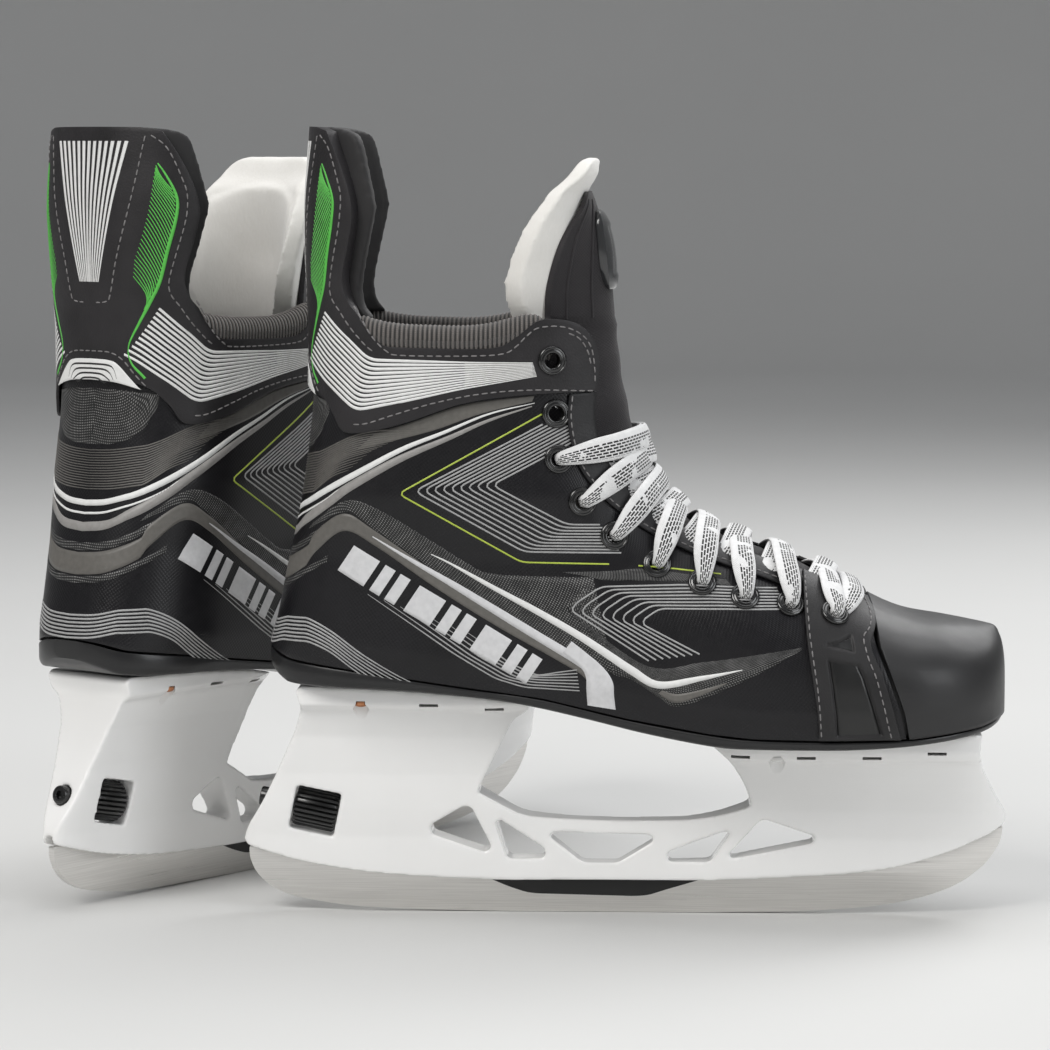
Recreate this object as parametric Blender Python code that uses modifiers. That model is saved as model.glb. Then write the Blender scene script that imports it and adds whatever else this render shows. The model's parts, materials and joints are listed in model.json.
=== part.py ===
"""A pair of ice hockey skates: two boots on white blade holders with steel runners.

The right skate is modelled along +X (toe forward, +Z up, the ice at Z = 0, X = 0 at the middle of
the runner). The left skate is its mirror image, turned and set beside it. Outlines are in
millimetres and become metres when a mesh is made.
"""

import math

import bmesh
import bpy
import numpy as np
from mathutils import Matrix, Vector

MM = 0.001

# Where the two skates stand. The origin is under the middle of the pair.
RIGHT_PLACE = (42.14, -93.33, 0.0)
LEFT_OFFSET = (-134.7, 110.8, 0.0)
LEFT_TURN = math.radians(52.9)

# Layers of the boot wall, as distances outward from the boot's surface.
SHELL_WALL = (0.0, -2.4)
OVERLAY_WALL = (2.5, 1.5)
TOE_CAP_WALL = (1.2, -1.5)
LINER_WALL = (-4.3, -7.6)
GUARD_WALL = (1.8, -2.6)
GUARD_PAD_WALL = (-3.6, -7.6)
GAP = 0.35

# Profile lines of the boot, from the side: (x, z).
BACK = [(-137, 94), (-137, 105), (-134, 117), (-130, 136), (-125, 159), (-122, 179), (-120, 198),
        (-119.5, 225), (-120.5, 256), (-120.5, 275), (-119.5, 290), (-118.5, 304)]
CROWN = [(-1, 330), (-1, 260), (0, 232), (1, 210), (4, 188), (10, 170), (22, 156), (36, 148.5),
         (52, 143), (67, 137.5), (82, 130), (94, 122.5), (107, 117), (122, 114.5), (136, 112.2),
         (160, 108)]
CROWN_ROUNDING = [60, 60, 60, 60, 58, 52, 47, 45, 45, 45, 40, 32, 26, 24, 24, 24]
TOE_FRONT = [(138.5, 120), (141, 112), (143.2, 107), (144.3, 100), (144.5, 90), (144.5, 70)]
WELT = [(-137, 105), (-128, 101), (-105, 98), (-79, 94), (-55, 90.5), (-31, 87.5), (1, 80.5),
        (32, 75.5), (48, 74), (73, 73.5), (107, 74), (134, 77), (146, 80)]
SOLE = [(-137, 96), (-131, 90.5), (-124, 88.4), (-86, 88), (-54, 86.4), (-35, 84), (-13, 80),
        (8, 75), (34, 69), (50, 68), (85, 68), (108, 70), (135, 73.5), (146, 78)]
TOPLINE = [(-119.5, 227), (-104, 227), (-95, 229), (-85, 226), (-66, 225), (-50, 226), (-39, 229),
           (-30, 231), (-20, 229), (-14, 223), (-12, 212), (-12, 193), (-9, 181), (-4, 173), (6, 162),
           (16, 155), (29, 147.5), (52, 140), (67, 134.8), (80, 129), (92, 122.5)]
TOE_SEAM = [(106, 74), (104, 85), (100, 96), (95, 109), (92, 122.5)]
STRAP_EDGE = [(75, 74), (73, 92), (70, 111), (67, 134.8)]

BACK_ROUNDING = 45.0
TOE_ROUNDING = 42.0
ROUNDNESS = 2.5
LOW_WIDTHS = [(-137, 35), (-90, 36), (-50, 35), (0, 41), (50, 49), (80, 50.5), (110, 48.5), (145, 44)]
HIGH_WIDTHS = [(100, 36), (140, 36.5), (165, 40), (200, 38.5), (225, 39), (270, 43), (304, 42)]
TOE_SWING = 3.5

EYELETS = [(78, 120), (62, 125), (45, 128), (29, 133), (12, 139.5), (-4, 150), (-16, 163), (-25, 179),
           (-26, 196), (-28, 216)]
LACED = 8

# Blade holder and runner.
HOLDER_BOTTOM = [(-147, 26), (-126, 20), (-102, 16), (-75, 14), (-48, 13), (29, 13), (52, 14), (87, 16),
                 (106, 19), (125, 25), (140, 32), (146, 36)]
HOLDER_REST = [(147, 39.5), (142, 48), (137, 58), (135, 64), (136.5, 70), (108, 66.9), (85, 65.6),
               (50, 65.6), (36, 67.8), (37, 65.5), (41, 62), (46, 52), (48.5, 43.5), (46, 42), (37, 39),
               (25, 36.8), (-2, 36.2), (-25, 37), (-40, 38.5), (-48, 43), (-57, 48), (-43, 77),
               (-38, 79.5), (-36, 82), (-54, 84.5), (-86, 86), (-123, 86.4), (-125, 85), (-124, 81),
               (-126, 74), (-134, 56), (-141, 42), (-146, 34), (-148, 28.5)]
TRUSS_WINDOWS = [
    [(-74.5, 34), (-74, 31), (-54, 24.6), (-52, 26), (-59.5, 40.6), (-62, 41)],
    [(-49, 34.5), (-47.5, 35), (-31.5, 24.5), (-31.5, 22), (-44, 22), (-45, 23)],
    [(-28, 29), (-27, 30.5), (9, 29.5), (10, 28), (-3, 20.4), (-16, 20.4)],
    [(18, 22), (18.5, 24), (38.5, 31.8), (40, 31), (32, 21), (19, 21)],
    [(42, 23), (52.5, 36), (54, 36.4), (71.5, 30), (71, 28), (43, 22.2)],
]
HOLDER_REAR_WIDTHS = [(0, 6.5), (30, 7.5), (40, 9), (55, 10.5), (70, 13.5), (79, 17.5), (82, 22), (95, 22)]
HOLDER_FRONT_WIDTHS = [(0, 6), (30, 6.5), (42, 9), (52, 13.5), (60, 18.5), (63, 23), (95, 23)]
BRIDGE_HALF = 5.0

RUNNER_HALF = 1.5
SLOT_HALF = 1.85
RUNNER_EDGE = [(-146, 25), (-146, 21), (-144, 15.5), (-139, 10), (-130, 5.6), (-111, 2), (-87, 0.6),
               (-48, 0), (29, 0), (68, 0.6), (95, 2.6), (114, 6), (129, 11.6), (140, 20.5), (145, 29),
               (145.5, 34.5)]
RUNNER_TOP = [(125, 28.5), (106, 22.6), (104, 22.5), (103, 40), (93, 40), (92, 21), (52, 17.2),
              (29, 16.4), (-48, 16.4), (-75, 17.4), (-84, 18.2), (-85, 36), (-96, 36), (-97, 19.3),
              (-126, 23.6)]
SLOT_TOP = [(148, 37.5), (125, 29.1), (107, 23.4), (103.6, 42), (92.4, 42), (91.4, 21.8), (52, 17.9),
            (29, 17), (-48, 17), (-75, 18), (-83.4, 19), (-84.4, 38), (-96.6, 38), (-97.6, 20),
            (-126, 24.4), (-150, 30)]

LOCK_CENTRE = (-118.5, 0.0, 39.8)
LOCK_TILT = math.radians(12)
WHEEL_RADIUS = 8.2
WHEEL_LENGTH = 14.0
BOLT_RADIUS = 2.4
BORE_RADIUS = 2.8
PLUG_RADIUS = 3.75
PLUG_START = -18.8

RIVETS = {"rear_rivet_outer": (-101, -1), "rear_rivet_inner": (-101, 1),
          "front_rivet_outer": (58, -1), "front_rivet_inner": (58, 1)}
RIVET_OUT = 19.4

# Hinges, in the right skate's own frame.
GUARD_HINGE = (-119.0, 0.0, 229.5)
TONGUE_HINGE = (0.5, 0.0, 231.0)


# ---------------------------------------------------------------- curves and the boot's surface

def smooth(points, steps=6):
    """A Catmull-Rom curve through the points, as an array."""
    p = np.array(points, float)
    p = np.vstack([2 * p[0] - p[1], p, 2 * p[-1] - p[-2]])
    out = []
    for a, b, c, d in zip(p, p[1:], p[2:], p[3:]):
        for t in np.linspace(0, 1, steps, endpoint=False):
            out.append(0.5 * (2 * b + (c - a) * t + (2 * a - 5 * b + 4 * c - d) * t ** 2
                              + (3 * b - a - 3 * c + d) * t ** 3))
    return np.array(out + [p[-2]])


def along(line, share):
    """Points at these shares of a line's length."""
    line = np.array(line, float)
    run = np.concatenate([[0], np.cumsum(np.linalg.norm(np.diff(line, axis=0), axis=1))])
    at = np.asarray(share) * run[-1]
    return np.stack([np.interp(at, run, line[:, k]) for k in range(line.shape[1])], -1)


def read(table, x):
    xs, ys = zip(*table)
    return np.interp(x, xs, ys)


def ease(t):
    t = np.clip(t, 0, 1)
    return t * t * (3 - 2 * t)


def nearest_share(x, z, line, rounding):
    """Distance from (x, z) to a line, as a share of the rounding there; the least over the line."""
    p = np.stack([x, z], -1)[..., None, :]
    a, b = line[:-1], line[1:]
    t = np.clip(((p - a) * (b - a)).sum(-1) / ((b - a) ** 2).sum(-1), 0, 1)
    away = np.linalg.norm(p - (a + (b - a) * t[..., None]), axis=-1)
    r = rounding[:-1] + (rounding[1:] - rounding[:-1]) * t
    return (away / r).min(-1)


BACK_LINE = smooth(BACK)
CROWN_LINE = smooth(CROWN)
CROWN_RADII = smooth([(r, 0) for r in CROWN_ROUNDING])[:, 0]
BACK_RADII = np.full(len(BACK_LINE), BACK_ROUNDING)
TOE_LINE = smooth(TOE_FRONT)
TOE_RADII = np.full(len(TOE_LINE), TOE_ROUNDING)


def rounded(t):
    """A superellipse's height at share t of its rounding."""
    return (1 - (1 - np.clip(t, 0, 1)) ** ROUNDNESS) ** (1 / ROUNDNESS)


def half_width(x, z):
    """Half of the boot's width at a point of its side view."""
    x, z = np.asarray(x, float), np.asarray(z, float)
    high = ease((z - 98) / 55) * ease((45 - x) / 65)
    widest = read(LOW_WIDTHS, x) * (1 - high) + read(HIGH_WIDTHS, z) * high
    under = 1 - 0.05 * ease((read(WELT, x) + 12 - z) / 12)
    return (widest * under * rounded(nearest_share(x, z, BACK_LINE, BACK_RADII))
            * rounded(nearest_share(x, z, CROWN_LINE, CROWN_RADII))
            * rounded(nearest_share(x, z, TOE_LINE, TOE_RADII)))


def swing(x):
    """How far the foot's centre line bends inward towards the big toe."""
    return TOE_SWING * ease((np.asarray(x, float) - 20) / 110)


def patch(bottom, top, left, right, across, up):
    """A Coons patch in the side view: arrays x, z of shape (len(up), len(across))."""
    q, k = np.asarray(across)[None, :, None], np.asarray(up)[:, None, None]
    b, t = along(bottom, across)[None], along(top, across)[None]
    l, r = along(left, up)[:, None], along(right, up)[:, None]
    corners = ((1 - q) * (1 - k) * b[:, :1] + q * (1 - k) * b[:, -1:] + (1 - q) * k * t[:, :1]
               + q * k * t[:, -1:])
    net = (1 - k) * b + k * t + (1 - q) * l + q * r - corners
    return net[..., 0], net[..., 1]


def line_between(line, x0, x1):
    """The stretch of a line from x0 to x1, which may be beyond its own points."""
    line = np.array(line, float)
    inside = line[(line[:, 0] > min(x0, x1)) & (line[:, 0] < max(x0, x1))]
    ends = [(x, float(np.interp(x, line[:, 0], line[:, 1]))) for x in (x0, x1)]
    return [ends[0], *map(tuple, inside if x0 < x1 else inside[::-1]), ends[1]]


def back_between(z0, z1):
    """The stretch of the back profile from height z0 to z1."""
    zs = np.linspace(z0, z1, 9)
    return [(float(np.interp(z, BACK_LINE[:, 1], BACK_LINE[:, 0])), float(z)) for z in zs]


def turn_shares(rounding, length, count, rest):
    """Shares along a panel that starts on a rounded edge: close together round the edge."""
    turn = np.linspace(0, math.pi / 2, count + 1)
    wrap = rounding * (1 - np.cos(turn) ** (2 / ROUNDNESS)) / length
    return np.concatenate([wrap, np.linspace(wrap[-1], 1, rest + 1)[1:]])


# ---------------------------------------------------------------- Blender helpers

def clear_scene():
    for obj in list(bpy.data.objects):
        bpy.data.objects.remove(obj)


def collection(name):
    made = bpy.data.collections.new(name)
    bpy.context.scene.collection.children.link(made)
    return made


def material(name, colour, roughness, metallic=0.0):
    made = bpy.data.materials.new(name)
    made.use_nodes = True
    shader = made.node_tree.nodes["Principled BSDF"]
    shader.inputs["Base Color"].default_value = (*colour, 1)
    shader.inputs["Roughness"].default_value = roughness
    shader.inputs["Metallic"].default_value = metallic
    made.diffuse_color = (*colour, 1)
    return made


def add(name, mesh, where, finish=None):
    obj = bpy.data.objects.new(name, mesh)
    where.objects.link(obj)
    if finish:
        mesh.materials.append(finish)
    return obj


def from_bmesh(name, bm, where, finish=None):
    mesh = bpy.data.meshes.new(name)
    bm.to_mesh(mesh)
    bm.free()
    return add(name, mesh, where, finish)


def add_net(bm, points, flip):
    """A net of quads through an array of points in millimetres."""
    rows = [[bm.verts.new(Vector(p) * MM) for p in row] for row in points]
    for low, high in zip(rows, rows[1:]):
        for a, b, c, d in zip(low, low[1:], high[1:], high):
            bm.faces.new((d, c, b, a) if flip else (a, b, c, d))


def side_panel(name, net, wall, sides, where, finish, ridges=()):
    """A panel on the boot's surface, on one side or both, with a wall between two distances.

    At its ridges (back, top, toe) the two sides meet on the boot's middle plane.
    """
    x, z = net
    width = half_width(x, z)
    for ridge in ridges:
        width[{"back": np.s_[:, 0], "toe": np.s_[:, -1], "top": np.s_[-1, :]}[ridge]] = 0
    bm = bmesh.new()
    for side in sides:
        y = side * width + swing(x)
        add_net(bm, np.stack([x, y, z], -1), flip=side > 0)
    bmesh.ops.remove_doubles(bm, verts=bm.verts, dist=0.02 * MM)
    bmesh.ops.dissolve_degenerate(bm, edges=bm.edges, dist=0.01 * MM)
    obj = from_bmesh(name, bm, where, finish)
    outer, inner = (w * MM for w in wall)
    solid = obj.modifiers.new("wall", "SOLIDIFY")
    solid.thickness = outer - inner
    solid.offset = 2 * outer / (outer - inner) - 1
    return obj


def loft(name, sections, where, finish):
    """A closed body through sections, each a closed loop with the same number of points."""
    bm = bmesh.new()
    loops = [[bm.verts.new(Vector(p) * MM) for p in section] for section in sections]
    for first, second in zip(loops, loops[1:]):
        for i in range(len(first)):
            j = (i + 1) % len(first)
            bm.faces.new((first[i], first[j], second[j], second[i]))
    bm.faces.new(loops[0][::-1])
    bm.faces.new(loops[-1])
    bmesh.ops.recalc_face_normals(bm, faces=bm.faces)
    bmesh.ops.triangulate(bm, faces=bm.faces)
    return from_bmesh(name, bm, where, finish)


def plate(name, outlines, half, where, finish=None, middle=0.0):
    """A flat plate from outlines in the side view, inner ones being windows, 2 * half thick."""
    curve = bpy.data.curves.new(name, "CURVE")
    curve.dimensions = "2D"
    curve.fill_mode = "BOTH"
    curve.extrude = half * MM
    for outline in outlines:
        spline = curve.splines.new("POLY")
        spline.points.add(len(outline) - 1)
        spline.use_cyclic_u = True
        for point, (x, z) in zip(spline.points, outline):
            point.co = (x * MM, z * MM, 0, 1)
    obj = add(name, curve, where)
    obj.rotation_euler.x = math.pi / 2
    obj.location.y = middle * MM
    return as_mesh(obj, where, finish)


def tube(name, points, radius, where, finish, sides=2):
    curve = bpy.data.curves.new(name, "CURVE")
    curve.dimensions = "3D"
    curve.bevel_depth = radius * MM
    curve.bevel_resolution = sides
    curve.use_fill_caps = True
    spline = curve.splines.new("POLY")
    spline.points.add(len(points) - 1)
    for point, at in zip(spline.points, points):
        point.co = (*(Vector(at) * MM), 1)
    obj = add(name, curve, where)
    return as_mesh(obj, where, finish)


def as_mesh(obj, where, finish=None):
    """The object as its modifiers leave it, as a mesh in world space, in the object's place."""
    bpy.context.view_layer.update()
    graph = bpy.context.evaluated_depsgraph_get()
    mesh = bpy.data.meshes.new_from_object(obj.evaluated_get(graph))
    mesh.transform(obj.matrix_world)
    bm = bmesh.new()
    bm.from_mesh(mesh)
    bmesh.ops.remove_doubles(bm, verts=bm.verts, dist=0.001 * MM)
    bmesh.ops.triangulate(bm, faces=bm.faces)
    bm.to_mesh(mesh)
    bm.free()
    name = obj.name
    bpy.data.objects.remove(obj)
    if finish and not mesh.materials:
        mesh.materials.append(finish)
    elif finish:
        mesh.materials[0] = finish
    return add(name, mesh, where)


def boolean(obj, other, operation, where):
    """The object with another joined to it, cut from it or kept in common."""
    step = obj.modifiers.new(operation.lower(), "BOOLEAN")
    step.operation = operation
    step.object = other
    made = as_mesh(obj, where)
    bpy.data.objects.remove(other)
    return made


def cylinder(name, start, end, radius, where, finish=None, sides=16):
    """A cylinder between two points."""
    a, b = Vector(start) * MM, Vector(end) * MM
    bm = bmesh.new()
    bmesh.ops.create_cone(bm, cap_ends=True, segments=sides, radius1=radius * MM,
                          radius2=radius * MM, depth=(b - a).length)
    turn = (b - a).to_track_quat("Z", "Y").to_matrix().to_4x4()
    bmesh.ops.transform(bm, matrix=Matrix.Translation((a + b) / 2) @ turn, verts=bm.verts)
    return from_bmesh(name, bm, where, finish)


def box(name, low, high, where, finish=None, turn=Matrix.Identity(4)):
    """A box between two corners, then turned about its own middle."""
    low, high = Vector(low) * MM, Vector(high) * MM
    bm = bmesh.new()
    bmesh.ops.create_cube(bm, size=1)
    bmesh.ops.scale(bm, vec=high - low, verts=bm.verts)
    bmesh.ops.transform(bm, matrix=Matrix.Translation((low + high) / 2) @ turn, verts=bm.verts)
    return from_bmesh(name, bm, where, finish)


# ---------------------------------------------------------------- the boot

def shell_net():
    bottom = [(x, z + 0.6) for x, z in line_between(WELT, -136.7, 105.6)]
    left = [(x, z) for x, z in back_between(105.6, 227)]
    across = turn_shares(BACK_ROUNDING, 250, 5, 11)
    seam = [(x - 0.8, z) for x, z in TOE_SEAM]
    seam[0] = bottom[-1]
    top = [*TOPLINE[:-1], seam[-1]]
    return patch(bottom, top, left, seam, across, np.linspace(0, 1, 7))


def build_shell(where, finish):
    obj = side_panel("boot_shell", shell_net(), SHELL_WALL, (-1, 1), where, finish, ("back",))
    for side in (-1, 1):
        obj = boolean(obj, eyelet_tool("hole", side, 3.3), "DIFFERENCE", where)
    return obj


def on_boot(x, z, side):
    """The point of the boot's surface at a point of its side view, and its outward direction."""
    step = 1.2

    def at(u, w):
        return Vector((u, float(side * half_width(u, w) + swing(u)), w))

    along_x, along_z = at(x + step, z) - at(x - step, z), at(x, z + step) - at(x, z - step)
    out = along_x.cross(along_z).normalized()
    return at(x, z), out * math.copysign(1, out.y * side)


def eyelet_tool(name, side, radius):
    point, out = on_boot(*EYELETS[-1], side)
    return cylinder(name, point - out * 9, point + out * 9, radius, bpy.context.scene.collection,
                    sides=12)


def turned(name, profile, place, steps, where, finish):
    """A body turned about its own Z axis from a profile of (radius, height)."""
    bm = bmesh.new()
    ring = [bm.verts.new((r * MM, 0, h * MM)) for r, h in profile]
    for a, b in zip(ring, ring[1:]):
        bm.edges.new((a, b))
    if profile[0][0]:
        bm.edges.new((ring[-1], ring[0]))
    obj = from_bmesh(name, bm, where, finish)
    screw = obj.modifiers.new("turned", "SCREW")
    screw.steps = screw.render_steps = steps
    screw.use_merge_vertices = True
    screw.merge_threshold = 0.00001
    obj.matrix_world = place
    return facing_out(as_mesh(obj, where))


def build_top_eyelet(name, side, where, finish):
    """The empty top eyelet: a flanged tube."""
    inner, neck, flange = 2.1, 2.9, 5.0
    profile = [(inner, 3.4), (flange - 0.8, 3.4), (flange, 3.0), (flange, 2.6), (neck, 2.6),
               (neck, -2.6), (inner, -2.6)]
    point, out = on_boot(*EYELETS[-1], side)
    place = (Matrix.Translation((point + out * GAP) * MM)
             @ out.to_track_quat("Z", "Y").to_matrix().to_4x4())
    return turned(name, profile, place, 12, where, finish)


def facing_out(obj):
    bm = bmesh.new()
    bm.from_mesh(obj.data)
    bmesh.ops.recalc_face_normals(bm, faces=bm.faces)
    bm.to_mesh(obj.data)
    bm.free()
    return obj


def build_toe_cap(where, finish):
    welt = [(x, z + 0.6) for x, z in line_between(WELT, 106.6, 144.5)]
    corner = (141.7, 110.9)
    front = [(144.5, welt[-1][1]), (144.5, 90), (144.3, 100), (143.2, 107), corner]
    top = [(92.8, 123.0), *[(x, z) for x, z in CROWN_LINE if 93 < x < 141.4], corner]
    rear = [(106.6, welt[0][1]), (104.6, 85), (100.6, 96), (95.6, 109), (92.8, 123.0)]
    across = 1 - turn_shares(TOE_ROUNDING, 43, 6, 1)[::-1]
    up = 1 - turn_shares(24, 40, 4, 2)[::-1]
    return side_panel("toe_cap", patch(welt, top, rear, front, across, up), TOE_CAP_WALL, (-1, 1),
                      where, finish, ("toe", "top"))


def build_collar_panel(where, finish):
    """The stitched band round the ankle, with the top eyelet in it."""
    bottom = [(-119.8, 204), (-112, 197), (-105, 190), (-75, 196), (-40, 203), (-11.5, 205)]
    top = [(-119.5, 227), *TOPLINE[1:9], (-14, 223)]
    left = back_between(204, 227)
    right = [(-11.5, 205), (-12, 212), (-14, 223)]
    across = turn_shares(BACK_ROUNDING, 120, 5, 6)
    obj = side_panel("collar_panel", patch(bottom, top, left, right, across, np.linspace(0, 1, 3)),
                     OVERLAY_WALL, (-1, 1), where, finish, ("back",))
    for side in (-1, 1):
        obj = boolean(obj, eyelet_tool("hole", side, 3.3), "DIFFERENCE", where)
    return obj


def build_eyestay(name, side, where, finish):
    """The stitched facing along the throat, between the collar panel and the toe strap."""
    inner = [(-21.5, 203.6), (-22, 193), (-19, 179), (-13, 169), (-3, 159), (10, 150), (27, 142),
             (48, 135), (65.6, 128.5)]
    outer = [(-11.8, 204.4), (-12, 193), (-9, 181), (-4, 173), (6, 162), (16, 155), (29, 147.5),
             (52, 140), (65.8, 135.2)]
    net = patch(inner, outer, [inner[0], outer[0]], [inner[-1], outer[-1]], np.linspace(0, 1, 12),
                np.linspace(0, 1, 3))
    return side_panel(name, net, OVERLAY_WALL, (side,), where, finish)


def build_toe_strap(name, side, where, finish):
    bottom = [(x, z + 0.6) for x, z in line_between(WELT, 75, 105)]
    edge = [(75, bottom[0][1]), *STRAP_EDGE[1:]]
    seam = [(105, bottom[-1][1]), (102.4, 85), (98.4, 96), (93.6, 109), (91, 123.2)]
    top = [STRAP_EDGE[-1], (80, 129), (91, 123.2)]
    net = patch(bottom, top, edge, seam, np.linspace(0, 1, 5), np.linspace(0, 1, 8))
    return side_panel(name, net, OVERLAY_WALL, (side,), where, finish)


def build_liner(where, finish):
    """The padded lining, which stands over the shell at the collar."""
    bottom = [(x, z + 6) for x, z in line_between(WELT, -134.6, 88)]
    top = [(-119.5, 226), (-100, 227), (-91, 233), (-82, 236), (-60, 235), (-46, 236), (-40, 230),
           (-38, 215), (-37, 195), (-33, 180), (-22, 163), (-5, 148), (15, 138), (40, 130), (65, 122),
           (88, 110)]
    left = [(x, z) for x, z in back_between(bottom[0][1], 226)]
    net = patch(bottom, top, left, [bottom[-1], top[-1]], turn_shares(BACK_ROUNDING, 235, 4, 8),
                np.linspace(0, 1, 6))
    return side_panel("liner", net, LINER_WALL, (-1, 1), where, finish, ("back",))


def build_guard(name, wall, inset, columns, where, finish):
    """The tendon guard over the collar, or with an inset, the pad inside it."""
    top = 303.0 - inset
    low = 229.6 + inset
    wing = [(-100 - inset, low), (-105.5 - inset, 238), (-106.5 - inset, 248), (-103.5 - inset, 261),
            (-100.5 - inset, 272), (-104 - inset, 287), (-108 - inset, top - 1.5)]
    left = back_between(low, top)
    bottom = [left[0], (left[0][0] + 9, low), wing[0]]
    upper = [left[-1], (left[-1][0] + 6, top), wing[-1]]
    across = 1 - np.cos(np.linspace(0, math.pi / 2, columns)) ** (2 / ROUNDNESS)
    net = patch(bottom, upper, left, wing, across, np.linspace(0, 1, 7))
    return side_panel(name, net, wall, (-1, 1), where, finish, ("back",))


def sole_sections(top, bottom, xs, top_width, bottom_width):
    """Cross-sections of a sole: flat on top, with a rounded lower edge."""
    found = []
    for x in xs:
        zt, zb = top(x), bottom(x)
        wt, wb = top_width(x, zt), bottom_width(x, zt)
        c, mid = float(swing(x)), zb + 0.45 * (zt - zb)
        loop = [(-wt, zt), (-wt, mid), (-wb, zb), (0, zb), (wb, zb), (wt, mid), (wt, zt), (0, zt)]
        found.append([(x, y + c, z) for y, z in loop])
    return found


def end_spacing(first, last, count):
    """Stations that crowd towards both ends."""
    return [first + (last - first) * (1 - math.cos(math.pi * i / count)) / 2
            for i in range(count + 1)]


def build_outsole(where, finish):
    def width(x, z):
        return max(float(half_width(x, z + 0.8)) + 0.3, 5.0)

    def top(x):
        return float(read(WELT, x))

    def bottom(x):
        return float(read(SOLE, x))

    xs = end_spacing(-136.6, 143.9, 18)
    return loft("outsole", sole_sections(top, bottom, xs, width, lambda x, z: width(x, z) - 2.6),
                where, finish)


def build_footbed(where, finish):
    def width(x, z):
        return max(float(half_width(x, z + 4)) - 9.5, 6.0)

    def top(x):
        return float(read(WELT, x)) + 4.6

    def bottom(x):
        return float(read(WELT, x)) + 0.9

    return loft("footbed", sole_sections(top, bottom, end_spacing(-124, 92, 12), width, width), where,
                finish)


def ridge_frame(share, line):
    """Point and outward normal of the ridge at a share of its length, in the side view."""
    p = along(line, share)
    ahead, behind = along(line, min(share + 0.01, 1)), along(line, max(share - 0.01, 0))
    t = (ahead - behind) / np.linalg.norm(ahead - behind)
    return p, np.array([-t[1], t[0]]) * (1 if -t[1] * 0.3 + t[0] > 0 else -1)


def tongue_section(point, normal, half, drop, thick, count=7):
    """A curved strip's cross-section: its outer arc, then its inner one back."""
    outer, inner = [], []
    for y in np.linspace(-half, half, count):
        fall = drop * (y / half) ** 2
        low = point - normal * fall
        outer.append((low[0], y + float(swing(low[0])), low[1]))
        deep = low - normal * thick
        inner.append((deep[0], y * (half - 1) / half + float(swing(low[0])), deep[1]))
    return outer + inner[::-1]


def build_tongue(where, finish):
    """The laced part of the tongue, under the eyestays from the toe cap to the ankle."""
    line = np.array([p for p in CROWN_LINE if p[1] < 230.3 and p[0] < 90.5])
    sections = []
    for share in (0, 0.06, 0.13, 0.2, 0.27, 0.34, 0.42, 0.5, 0.6, 0.72, 0.85, 1):
        p, n = ridge_frame(share, line)
        top = 1 - ease(share * 3.2)
        shin = 1 - ease(share * 1.6)
        half = 18.5 + 3.5 * shin + 6 * top
        drop = 8.5 + 7 * shin + 22 * top
        sections.append(tongue_section(p - n * (1.2 + 1.8 * top), n, half, drop, 5 + 4 * top))
    return loft("tongue", sections, where, finish)


# The upright upper tongue, by height: z, front x, half width, drop of its edges, thickness.
CAP_SHAPE = [(232, -4.5, 26.5, 24, 2.2), (243, -5.5, 27, 22.3, 2.2), (256, -7, 26.5, 17.3, 2.2),
             (264, -8.5, 24, 12.5, 2.0), (272, -11, 20, 5.2, 1.8), (278, -13, 14, 1.4, 1.6)]
FELT_SHAPE = [(232, -8.5, 29, 32, 7.5), (243, -9.5, 31, 30.5, 7), (252, -10.5, 32, 28, 6.5),
              (261, -12.6, 32.5, 22.5, 6.5), (269, -14.4, 31.5, 16.5, 6.3), (276, -15.6, 30, 10, 6),
              (279, -15.4, 29, 8, 5.8), (283, -13.0, 28, 5, 5.5), (288, -10.2, 25.5, 3, 5),
              (291.5, -9.5, 22.5, 2.5, 4)]


def upright_section(shape, z, count, ahead=0.0, thick=None, half=None):
    """A level cross-section of a layer of the upper tongue: its front arc, then its rear one."""
    zs, *columns = zip(*shape)
    front, full, drop, deep = (float(np.interp(z, zs, column)) for column in columns)
    thick, half = thick or deep, half or full
    ys = [half * math.sin(t) for t in np.linspace(-math.pi / 2, math.pi / 2, count)]
    arc = [(front + ahead - drop * (y / full) ** 2, y, z) for y in ys]
    return arc + [(x - thick, y * (half - 0.6) / half, z) for x, y, z in arc[::-1]]


def build_tongue_cap(where, finish):
    """The stiff outer layer of the tongue over the collar."""
    heights = (232, 243, 256, 264, 272, 278)
    return loft("tongue_cap", [upright_section(CAP_SHAPE, z, 8) for z in heights], where, finish)


def build_tongue_felt(where, finish):
    """The thick felt pad inside the tongue, which stands over its cap."""
    heights = (232, 246, 259, 269, 277, 283, 288, 291.5)
    return loft("tongue_felt", [upright_section(FELT_SHAPE, z, 8) for z in heights], where, finish)


# The badge on the tongue cap, by height: z, half width, how far it stands proud.
BADGE_SHAPE = [(242, 8, 0.6), (245, 10.5, 1.8), (256, 12.5, 2.4), (266, 12, 2.2), (271, 9.5, 0.6)]
BADGE_GAP = 0.7


def build_tongue_badge(where, finish):
    """The moulded bumper on the front of the tongue cap."""
    sections = [upright_section(CAP_SHAPE, z, 6, ahead=BADGE_GAP + proud, thick=proud, half=half)
                for z, half, proud in BADGE_SHAPE]
    return loft("tongue_badge", sections, where, finish)


LACE_RADIUS = 1.15
LACE_LIFT = 5.0


def over_boot(index, side, share, lift):
    """A point lifted over the boot, at a share of the way from an eyelet to the ridge."""
    x, z = EYELETS[index]
    top, up = ridge_point(index)
    point, out = on_boot(x + (top.x - x) * share, z + (top.z - z) * share, side)
    if share == 1:
        point, out = top, up
    return point + out * lift


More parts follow.
